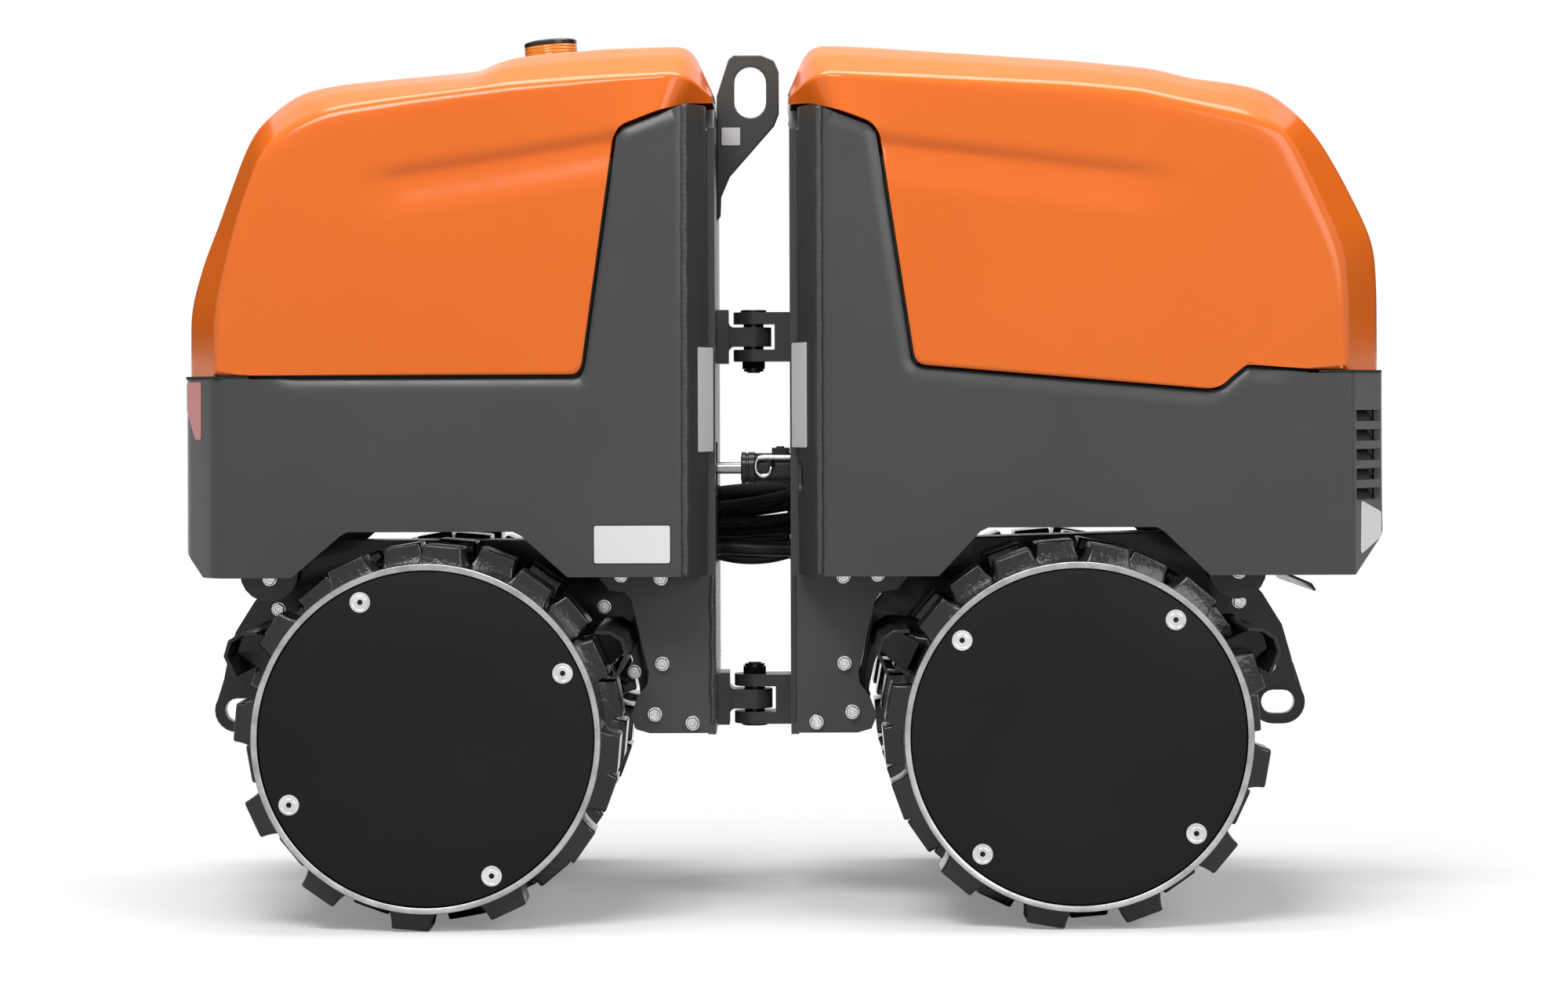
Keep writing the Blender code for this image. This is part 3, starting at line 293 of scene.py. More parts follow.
@dataclass(frozen=True)
class Rubber:
    """Black rubber or plastic with a matte mottled skin."""

    name: str
    colour: Colour
    roughness: float
    skin: float = 0.12
    shine: float = 0.25
    skin_scale: float = 420.0
    skin_depth: float = 0.0005
    mottle_scale: float = 75.0
    mottle_band: Pair = (0.45, 0.75)

    def build(self) -> bpy.types.Material:
        """The finish as a material: a fine noise mottles the roughness and lifts the skin."""
        g = Graph(self.name)
        g.set(Specular_IOR_Level=self.shine)
        pale = tuple(min(1.0, c * 1.7 + 0.004) for c in self.colour)
        mottle = g.noise(self.mottle_scale, 5.0)
        g.tint(mottle, self.mottle_band, self.colour, pale)
        g.roughen(mottle, self.roughness, (0.85, 1.0))
        g.link(g.bump(g.noise(self.skin_scale, 2.0), self.skin, self.skin_depth), "Normal")
        return g.material


@dataclass(frozen=True)
class Lens:
    """Clear amber moulding that lets light part of the way through."""

    name: str
    colour: Colour
    deep: Colour
    roughness: float = 0.08
    clarity: float = 0.55
    wave_scale: float = 55.0

    def build(self) -> bpy.types.Material:
        """The finish as a material: part transmission, with bands of deeper amber up its height."""
        g = Graph(self.name)
        g.set(Transmission_Weight=self.clarity, IOR=1.49, Coat_Weight=0.4, Coat_Roughness=0.03)
        inputs = {"Vector": g.place, "Scale": self.wave_scale, "Distortion": 0.0}
        wave = g.node("TexWave", inputs, bands_direction="Z")
        g.tint(wave.outputs["Fac"], (0.2, 0.9), self.deep, self.colour)
        g.roughen(g.noise(60.0), self.roughness, (1.0, 1.8))
        return g.material


class Shop:
    """Every finish of the machine, each built once and handed out by its slot name.

    Columns: name and two colours (one for rubber), then
    Paint: roughness, coat, scale of the peel, peel, shine;
    Casting: roughness, scale of the grain, grain, shine, film;
    Metal: roughness, stretch, marks;
    Rubber: roughness, skin.
    """

    FINISHES = (
        Paint("orange_paint", (0.800, 0.156, 0.0130), (0.785, 0.147, 0.0115), 0.18, 0.08, 180.0, 0.035, 0.30),
        Paint("grey_paint", (0.050, 0.053, 0.052), (0.056, 0.059, 0.058), 0.33, 0.0, 320.0, 0.10, 0.32),
        Paint("black_paint", (0.008, 0.008, 0.009), (0.011, 0.011, 0.012), 0.26, 0.12, 240.0, 0.12, 0.30),
        Paint("cover_plate", (0.0095, 0.0082, 0.0078), (0.012, 0.0105, 0.010), 0.52, 0.0, 420.0, 0.10, 0.12),
        Paint("blank_plate", (0.80, 0.80, 0.79), (0.77, 0.77, 0.765), 0.35, 0.1, 300.0, 0.04),
        Paint("white_reflector", (0.78, 0.79, 0.80), (0.70, 0.71, 0.72), 0.18, 0.5, 700.0, 0.30),
        Paint("red_reflector", (0.62, 0.16, 0.15), (0.56, 0.13, 0.125), 0.20, 0.5, 700.0, 0.30),
        Casting("cast_drum", (0.0045, 0.0045, 0.005), (0.011, 0.011, 0.012), 0.17, 120.0, 0.7, 0.32, 0.30),
        Casting("cast_block", (0.055, 0.056, 0.058), (0.11, 0.11, 0.11), 0.50, 120.0, 0.5, 0.3, 0.0),
        Metal("zinc", (0.72, 0.73, 0.73), (0.55, 0.55, 0.54), 0.22),
        Metal("machined_ring", (0.46, 0.46, 0.455), (0.30, 0.30, 0.295), 0.34, (1.0, 0.25, 1.0), 0.15),
        Metal("chrome", (0.30, 0.30, 0.31), (0.26, 0.26, 0.27), 0.10, (0.2, 1.0, 1.0), 0.02),
        Rubber("rubber", (0.012, 0.012, 0.012), 0.70),
        Rubber("hose_skin", (0.010, 0.010, 0.011), 0.42, 0.06),
        Lens("amber_lens", (0.95, 0.47, 0.03), (0.72, 0.25, 0.01)),
    )
    RECORD_SLOTS = {"orange_paint", "grey_paint", "black_paint", "cover_plate", "cast_drum", "cast_block",
                    "zinc", "chrome", "rubber", "amber_lens"}

    materials: dict[str, bpy.types.Material] = {}

    @classmethod
    def open(cls) -> None:
        """Builds all finishes."""
        cls.materials.update((finish.name, finish.build()) for finish in cls.FINISHES)

    @classmethod
    def dress(cls, piece: bpy.types.Object, finish: str) -> None:
        """Puts a finish on a piece, in place of what it had.

        Args:
            piece: the object to dress.
            finish: the finish's name.
        """
        piece.data.materials.clear()
        piece.data.materials.append(cls.materials[finish])

    @classmethod
    def dress_nodes(cls, frame: dict) -> None:
        """Puts each CAD node's own finish on it, by the record's slots."""
        for row in frame["record"]["subparts"]:
            node = frame["nodes"][row["node"]]
            for slot in node.material_slots:
                slot.material = cls.materials[row["material_slot"]]


FRAME: dict = {}
MERGE = 1e-5


def dressed(piece: bpy.types.Object, finish: str, smooth: float | None) -> None:
    """Puts a finish on a piece, and smooths its faces where they meet at less than an angle.

    Args:
        piece: the object to dress.
        finish: the finish's name.
        smooth: the angle in degrees, or None for flat faces.
    """
    Shop.dress(piece, finish)
    if smooth is not None:
        piece.data.shade_smooth()
        piece.data.set_sharp_from_angle(angle=radians(smooth))


def finish_piece(piece: bpy.types.Object, body: str, finish: str, smooth: float | None = 40.0,
                 stands_for: Iterable[str] = ()) -> None:
    """Dresses a new piece and gives it to the body that carries it.

    Args:
        piece: the new object.
        body: the CAD body it rides on.
        finish: its finish.
        smooth: the angle in degrees over which an edge stays sharp, or None for flat faces.
        stands_for: the CAD nodes it replaces.
    """
    dressed(piece, finish, smooth)
    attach(piece, body)
    if stands_for:
        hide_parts(*stands_for)
    LOG.info("%s rides on %s with %d faces", piece.name, body, len(piece.data.polygons))


def new_object(name: str, data: bpy.types.ID) -> bpy.types.Object:
    """A new object at the origin with this data, linked to the scene."""
    made = bpy.data.objects.new(name, data)
    bpy.context.scene.collection.objects.link(made)
    return made


def mesh_from(name: str, points: np.ndarray, faces: Faces) -> bpy.types.Object:
    """A new object at the origin from points and faces.

    Args:
        name: the piece's name.
        points: an n by 3 array, in metres.
        faces: rows of vertex numbers, three or four to a face.

    Returns:
        The object, linked to the scene.
    """
    mesh = bpy.data.meshes.new(name)
    rows = faces.tolist() if isinstance(faces, np.ndarray) else faces
    mesh.from_pydata(np.asarray(points, dtype=float).reshape(-1, 3).tolist(), [], rows)
    mesh.validate()
    mesh.update()
    return new_object(name, mesh)


def grid_faces(rows: int, columns: int, closed: bool = False) -> np.ndarray:
    """Quads of a grid of points stored row by row: (i, j), (i, j + 1), (i + 1, j + 1), (i + 1, j).

    Args:
        rows: how many rows of points.
        columns: how many points in a row.
        closed: whether each row's last point joins its first.

    Returns:
        An n by 4 array of point numbers.
    """
    i, j = np.meshgrid(np.arange(rows - 1), np.arange(columns if closed else columns - 1), indexing="ij")
    here, after = i * columns + j, i * columns + (j + 1) % columns
    return np.stack([here, after, after + columns, here + columns], -1).reshape(-1, 4)


def capped(rings: np.ndarray) -> Shape:
    """Rings of points joined into a tube, with a face over each end.

    Args:
        rings: an array of rings by points by 3.

    Returns:
        Points, and faces that may have more than four sides at the ends.
    """
    count, n = rings.shape[:2]
    faces = grid_faces(count, n, closed=True).tolist()
    faces += [list(range(n)), list(range((count - 1) * n, count * n))[::-1]]
    return rings.reshape(-1, 3), faces


def joined(shapes: Sequence[Shape]) -> Shape:
    """Several shapes as one.

    Args:
        shapes: pairs of points and faces.

    Returns:
        All the points, and all the faces with their numbers moved past the points before them.
    """
    points, faces, count = [], [], 0
    for shape_points, shape_faces in shapes:
        rows = shape_faces.tolist() if isinstance(shape_faces, np.ndarray) else shape_faces
        points.append(np.asarray(shape_points, dtype=float).reshape(-1, 3))
        faces.extend([number + count for number in row] for row in rows)
        count += len(points[-1])
    return np.concatenate(points), faces


def outward(piece: bpy.types.Object) -> bpy.types.Object:
    """Merges a closed piece's doubles and turns its faces outwards."""
    bm = bmesh.new()
    bm.from_mesh(piece.data)
    bmesh.ops.remove_doubles(bm, verts=bm.verts, dist=MERGE)
    bmesh.ops.recalc_face_normals(bm, faces=bm.faces)
    bm.to_mesh(piece.data)
    bm.free()
    return piece


def closed_piece(name: str, shapes: Sequence[Shape], body: str, finish: str, smooth: float | None = 40.0,
                 stands_for: Iterable[str] = ()) -> None:
    """One closed piece from several shapes, merged, turned outwards and dressed.

    Args:
        name: the piece's name.
        shapes: pairs of points and faces.
        body, finish, smooth, stands_for: as in finish_piece.
    """
    finish_piece(outward(mesh_from(name, *joined(shapes))), body, finish, smooth, stands_for)


def turned(profile: Line, sides: int = 48) -> Shape:
    """A profile of (radius, height) turned about Z: x = r cos a, y = r sin a, z = height.

    Args:
        profile: the profile from one end of the axis to the other; radius zero closes an end.
        sides: how many steps go round.

    Returns:
        Points and quads; the quads at a closed end share a point.
    """
    r, h = np.array(profile).T
    a = np.linspace(0, 2 * pi, sides, endpoint=False)
    points = np.stack([np.outer(r, np.cos(a)), np.outer(r, np.sin(a)), np.repeat(h[:, None], sides, 1)], -1)
    return points.reshape(-1, 3), grid_faces(len(profile), sides, closed=True)


def stud(radius: float, low: float, high: float, bevel: Pair) -> list[Pair]:
    """The profile of a stud or nut with its top edge bevelled, to be turned.

    Args:
        radius: its radius, to the corners if it has few sides.
        low, high: its two ends.
        bevel: how far the bevel reaches in and down.

    Returns:
        Pairs of radius and height.
    """
    inwards, down = bevel
    return [(0, low), (radius, low), (radius, high - down), (radius - inwards, high), (0, high)]


def shifted(shape: Shape, by: Point) -> Shape:
    """A shape moved by an amount along each axis."""
    return shape[0] + np.array(by), shape[1]


def aimed(shape: Shape, place: Point, direction: Point, spin: float = 0.0) -> Shape:
    """A shape moved so that its Z axis runs along a direction from a place.

    Each point goes to place + x u + y v + z w, where u, v and w are the turned axes.

    Args:
        shape: points about the origin, and faces.
        place: where its origin goes.
        direction: where its Z axis points.
        spin: a turn about its own axis first, in radians.

    Returns:
        The moved points, with the same faces.
    """
    w = np.array(direction, dtype=float)
    w /= np.linalg.norm(w)
    start = np.array([1.0, 0, 0]) if abs(w[0]) < 0.9 else np.array([0, 1.0, 0])
    u = np.cross(start, w)
    u /= np.linalg.norm(u)
    v = np.cross(w, u)
    c, s = cos(spin), sin(spin)
    axes = np.stack([c * u + s * v, c * v - s * u, w])
    return shape[0] @ axes + np.array(place), shape[1]


def resampled(line: np.ndarray, count: int) -> np.ndarray:
    """A line read again at even steps of its length.

    Args:
        line: an n by k array of points.
        count: how many points the new line has.

    Returns:
        A count by k array, with the same ends.
    """
    steps = np.concatenate([[0], np.cumsum(np.linalg.norm(np.diff(line, axis=0), axis=1))])
    at = np.linspace(0, steps[-1], count)
    return np.stack([np.interp(at, steps, line[:, k]) for k in range(line.shape[1])], -1)


def relaxed(values: np.ndarray, times: int, axis: int = 0) -> np.ndarray:
    """Rounds corners: each value moves to a quarter, half, quarter mean of its neighbours, ends held.

    Args:
        values: the array to round.
        times: how many times every value moves.
        axis: the axis whose neighbours count.

    Returns:
        A rounded copy.
    """
    values = np.moveaxis(values.copy(), axis, 0)
    for _ in range(times):
        values[1:-1] = 0.25 * values[:-2] + 0.5 * values[1:-1] + 0.25 * values[2:]
    return np.moveaxis(values, 0, axis)


def step(value: np.ndarray, low: float, high: float) -> np.ndarray:
    """A smooth rise from 0 at low to 1 at high: 3t squared less 2t cubed."""
    t = np.clip((value - low) / (high - low), 0.0, 1.0)
    return t * t * (3 - 2 * t)


def between(a: np.ndarray, b: np.ndarray, count: int) -> np.ndarray:
    """Points a (1 - t) + b t at even steps of t, with b itself left out.

    Args:
        a, b: two lines of n points each.
        count: how many steps lie between them.

    Returns:
        An n by count by 3 array.
    """
    t = np.arange(count) / count
    return a[:, None] * (1 - t)[None, :, None] + b[:, None] * t[None, :, None]


@dataclass
class HoodMoulding:
    """Moulded hood: a sheet carried over ribs, with rounded creases, a side groove and the seam as its edge.

    Columns of ribs: roof line x, z; crease x, z; half-width of the roof; half-width at the crease.
    """

    half: Half
    ribs: Sequence[tuple[float, ...]]
    seam: Line
    groove: tuple[Pair, Pair]
    lid_rows: Pair | None = None
    foot_y: float = 0.2975
    crease_y: float = 0.290
    side_y: float = 0.27
    wall: float = 0.005
    rows: int = 150
    side_columns: int = 64
    shoulder_columns: int = 30
    roof_columns: int = 28
    rib_rounds: int = 5
    crease_rounds: int = 7
    closing: Pair = (0.965, 1.0)
    bulge: float = 0.10
    seam_clear: float = 0.0005
    groove_depth: float = 0.010
    groove_edge: Pair = (-0.003, 0.021)
    groove_fade: Pair = (0.021, 0.085)
    groove_start: Pair = (-0.12, 0.02)
    groove_end: Pair = (0.80, 1.06)
    lid_share: float = 0.82

    def section_grid(self) -> np.ndarray:
        """The sheet as a grid of points, rows from the outer foot over the roof to the hinge end.

        Each row is a section: from the seam up to the crease, over the shoulder to the roof's edge and
        across to the middle, then mirrored. Rows come from the ribs read at even steps of the roof line and
        relaxed, so that its bends are round; relaxing across the columns rounds the creases. Over the share
        of the rows called closing, the foot draws in to the crease.

        Returns:
            An array rows by columns by 3.
        """
        table = np.array(self.ribs)
        lengths = np.concatenate([[0], np.cumsum(np.linalg.norm(np.diff(table[:, :4], axis=0), axis=1))])
        share = np.linspace(0, 1, self.rows)
        ribs = np.stack([np.interp(share * lengths[-1], lengths, table[:, k]) for k in range(6)], -1)
        rx, rz, cx, cz, ry, cy = relaxed(ribs, self.rib_rounds).T
        seam = relaxed(resampled(np.array(self.seam), self.rows), 1)
        drawn_in = step(share, *self.closing)
        foot_y = np.minimum(self.foot_y, cy + (self.foot_y - self.crease_y))
        foot = np.stack([seam[:, 0], foot_y * (1 - drawn_in) + cy * drawn_in, seam[:, 1]], -1)
        crease = np.stack([cx, cy, np.maximum(cz, seam[:, 1] + self.seam_clear)], -1)
        bulge = np.stack([(rx + cx) / 2, (ry + cy) / 2, (rz + cz) / 2 + self.bulge * np.abs(rz - cz)], -1)
        edge = np.stack([rx, ry, rz], -1)
        middle = np.stack([rx, 0 * ry, rz], -1)
        shoulder = self.shoulder_columns // 2
        half_sheet = np.concatenate([between(foot, crease, self.side_columns),
                                     between(crease, bulge, shoulder), between(bulge, edge, shoulder),
                                     between(edge, middle, self.roof_columns), middle[:, None]], 1)
        right = half_sheet * np.array([1, -1, 1])
        whole = np.concatenate([right, half_sheet[:, -2::-1]], 1)
        return self.grooved(relaxed(whole, self.crease_rounds, axis=1))

    def grooved(self, sheet: np.ndarray) -> np.ndarray:
        """Pushes the sides in below the groove's line.

        The push rises from 0 to full depth over the groove's soft edge, and dies away further down and
        towards both its ends: depth times rise(below) times fade(below) times fade(along) times rise(along).

        Args:
            sheet: the grid of points, which is changed.

        Returns:
            The same sheet.
        """
        (x0, z0), (x1, z1) = self.groove
        along = (sheet[..., 0] - x0) / (x1 - x0)
        below = (z0 + (z1 - z0) * along) - sheet[..., 2]
        push = step(below, *self.groove_edge) * (1 - step(below, *self.groove_fade))
        push *= (1 - step(along, *self.groove_end)) * step(along, *self.groove_start) * self.groove_depth
        on_side = np.abs(sheet[..., 1]) > self.side_y
        sheet[..., 1] -= np.sign(sheet[..., 1]) * push * on_side
        return sheet

    def build(self) -> None:
        """The hood, and for the rear one its lid, as walls of even thickness."""
        sheet = self.section_grid()
        rows, columns = sheet.shape[:2]
        quads = grid_faces(rows, columns)
        name = self.half.label + "_hood"
        if self.lid_rows is None:
            self.wall_piece(name, sheet, quads, name)
            return
        row, column = quads[:, 0] // columns, quads[:, 0] % columns
        first, last = (int(share * rows) for share in self.lid_rows)
        roof_start = self.side_columns + self.shoulder_columns
        edge = roof_start + int(self.roof_columns * (1 - self.lid_share))
        inside = (row >= first) & (row < last) & (column >= edge) & (column < columns - 1 - edge)
        ring = (row >= first - 1) & (row < last + 1) & (column >= edge - 1) & (column < columns - edge)
        self.wall_piece(name, sheet, quads[~ring], name)
        self.wall_piece("rear_lid", sheet, quads[inside], "lid")

    def wall_piece(self, body: str, sheet: np.ndarray, quads: np.ndarray, node: str) -> None:
        """A wall of even thickness over some of the sheet's quads.

        Args:
            body: the CAD body it rides on, whose name it takes.
            sheet: the grid of points.
            quads: the faces that this piece keeps.
            node: the CAD node it stands for.
        """
        used, renumbered = np.unique(quads, return_inverse=True)
        points = sheet.reshape(-1, 3)[used]
        faces = renumbered.reshape(-1, 4)
        if self.half is Half.FRONT:
            faces = faces[:, ::-1]
        piece = mesh_from(body + "_moulding", points, faces)
        solid = piece.modifiers.new("wall", "SOLIDIFY")
        solid.thickness, solid.offset, solid.use_even_offset = self.wall, -1.0, False
        finish_piece(piece, body, "orange_paint", 60.0, stands_for=(node,))


REAR_RIBS = (
    (-0.892, 0.780, -0.842, 0.780, 0.215, 0.296), (-0.892, 0.902, -0.841, 0.889, 0.214, 0.296),
    (-0.887, 0.932, -0.836, 0.930, 0.213, 0.295), (-0.872, 0.984, -0.825, 0.978, 0.212, 0.295),
    (-0.850, 1.041, -0.810, 1.040, 0.210, 0.294), (-0.831, 1.095, -0.790, 1.100, 0.208, 0.293),
    (-0.811, 1.150, -0.776, 1.134, 0.206, 0.293), (-0.794, 1.184, -0.762, 1.155, 0.204, 0.292),
    (-0.772, 1.206, -0.740, 1.174, 0.202, 0.292), (-0.748, 1.226, -0.712, 1.190, 0.200, 0.291),
    (-0.721, 1.241, -0.686, 1.200, 0.198, 0.291), (-0.668, 1.2515, -0.650, 1.209, 0.195, 0.291),
    (-0.572, 1.261, -0.566, 1.222, 0.190, 0.290), (-0.485, 1.269, -0.500, 1.231, 0.185, 0.290),
    (-0.455, 1.272, -0.466, 1.235, 0.184, 0.290), (-0.431, 1.286, -0.440, 1.238, 0.183, 0.290),
    (-0.399, 1.294, -0.404, 1.242, 0.182, 0.290), (-0.2705, 1.3055, -0.272, 1.252, 0.182, 0.290),
    (-0.150, 1.309, -0.156, 1.2585, 0.182, 0.290), (-0.140, 1.305, -0.142, 1.254, 0.180, 0.276),
    (-0.110, 1.238, -0.112, 1.232, 0.150, 0.200),
)
REAR_SEAM = ((-0.8420, 0.8135), (-0.7720, 0.8135), (-0.3080, 0.8135), (-0.3013, 0.825), (-0.2527, 1.169),
             (-0.2425, 1.1838), (-0.1465, 1.2210), (-0.110, 1.2245))
FRONT_RIBS = (
    (0.893, 0.760, 0.834, 0.760, 0.215, 0.296), (0.893, 0.930, 0.831, 0.930, 0.214, 0.296),
    (0.891, 0.982, 0.826, 0.984, 0.213, 0.295), (0.886, 1.012, 0.815, 1.018, 0.212, 0.295),
    (0.872, 1.046, 0.803, 1.046, 0.210, 0.294), (0.842, 1.106, 0.776, 1.106, 0.208, 0.293),
    (0.813, 1.157, 0.756, 1.148, 0.206, 0.293), (0.789, 1.189, 0.739, 1.174, 0.204, 0.292),
    (0.764, 1.213, 0.716, 1.184, 0.202, 0.292), (0.733, 1.236, 0.685, 1.193, 0.200, 0.291),
    (0.690, 1.2476, 0.650, 1.200, 0.197, 0.291), (0.611, 1.258, 0.590, 1.215, 0.192, 0.291),
    (0.586, 1.266, 0.566, 1.220, 0.190, 0.290), (0.556, 1.273, 0.536, 1.228, 0.188, 0.290),
    (0.440, 1.285, 0.430, 1.239, 0.184, 0.290), (0.122, 1.307, 0.124, 1.256, 0.182, 0.290),
    (0.050, 1.310, 0.060, 1.2595, 0.182, 0.290), (0.040, 1.306, 0.044, 1.254, 0.180, 0.276),
    (0.012, 1.240, 0.014, 1.232, 0.150, 0.200),
)
FRONT_SEAM = ((0.834, 0.8175), (0.790, 0.8175), (0.688, 0.8252), (0.650, 0.7932), (0.634, 0.7890),
              (0.2020, 0.8266), (0.1948, 0.8335), (0.1428, 1.1735), (0.1290, 1.1885), (0.0430, 1.2210),
              (0.012, 1.2225))


def build_hoods() -> None:
    """Both hoods, and the lid in the rear one."""
    HoodMoulding(Half.REAR, REAR_RIBS, REAR_SEAM, ((-0.2516, 1.1790), (-0.623, 1.1200)),
                 lid_rows=(0.20, 0.52)).build()
    HoodMoulding(Half.FRONT, FRONT_RIBS, FRONT_SEAM, ((0.146, 1.1745), (0.583, 1.1225))).build()


@dataclass
class Softened:
    """Round edges on a folded, cut or cast CAD piece: a merged copy with its folds and corners rounded."""

    node: str
    body: str
    finish: str
    width: float = 0.002
    segments: int = 3
    angle: float = 25.0
    fold: float = 0.0
    fold_segments: int = 8
    fold_angles: Pair = (12.0, 75.0)
    fold_length: float = 0.06
    upright_share: float = 0.95
    windowed_x: float = 0.8
    windowed_share: float = 0.36
    inner_share: float = 0.6
    flat_angle: float = 0.8
    cutters: tuple[bpy.types.Object, ...] = ()

    def build(self) -> None:
        """Copies the node's mesh, merges its loose triangles and flat faces, and rounds it.

        Upright folds, where two plates meet between the fold's angles over its length or more, take its
        width, or a share of it inside a bend and beside the windows of the front end. All other corners
        over the given angle take the small width.
        """
        bm = bmesh.new()
        bm.from_mesh(FRAME["nodes"][self.node].data)
        bmesh.ops.remove_doubles(bm, verts=bm.verts, dist=2 * MERGE)
        bmesh.ops.dissolve_limit(bm, angle_limit=radians(self.flat_angle), verts=bm.verts, edges=bm.edges)
        weights = bm.edges.layers.float.new("bevel_weight_edge")
        low, high = (radians(angle) for angle in self.fold_angles)
        for edge in bm.edges:
            run = edge.verts[0].co - edge.verts[1].co
            upright = abs(run.z) > self.upright_share * run.length and run.length > self.fold_length
            if self.fold and upright and low < edge.calc_face_angle(0.0) < high:
                share = self.windowed_share if edge.verts[0].co.x > self.windowed_x else 1.0
                edge[weights] = share * (1.0 if edge.is_convex else self.inner_share)
        mesh = bpy.data.meshes.new(self.node + "_softened")
        bm.to_mesh(mesh)
        bm.free()
        piece = new_object(self.node + "_softened", mesh)
        if self.fold:
            self.rounded(piece, "folds", self.fold, self.fold_segments, "WEIGHT").use_clamp_overlap = False
        self.rounded(piece, "corners", self.width, self.segments, "ANGLE")
        for cutter in self.cutters:
            cut = piece.modifiers.new("cut", "BOOLEAN")
            cut.operation, cut.object, cut.solver = "DIFFERENCE", cutter, "EXACT"
        finish_piece(piece, self.body, self.finish, 50.0, stands_for=(self.node,))

    def rounded(self, piece: bpy.types.Object, name: str, width: float, segments: int,
                limit: str) -> bpy.types.Modifier:
        """Adds a bevel.

        Args:
            piece: the object to round.
            name: the modifier's name.
            width: the bevel's width in metres.
            segments: its steps round a corner.
            limit: WEIGHT for weighted edges, or ANGLE for edges over the angle.

        Returns:
            The new modifier.
        """
        bevel = piece.modifiers.new(name, "BEVEL")
        bevel.width, bevel.segments, bevel.limit_method = width, segments, limit
        bevel.angle_limit = radians(self.angle)
        return bevel


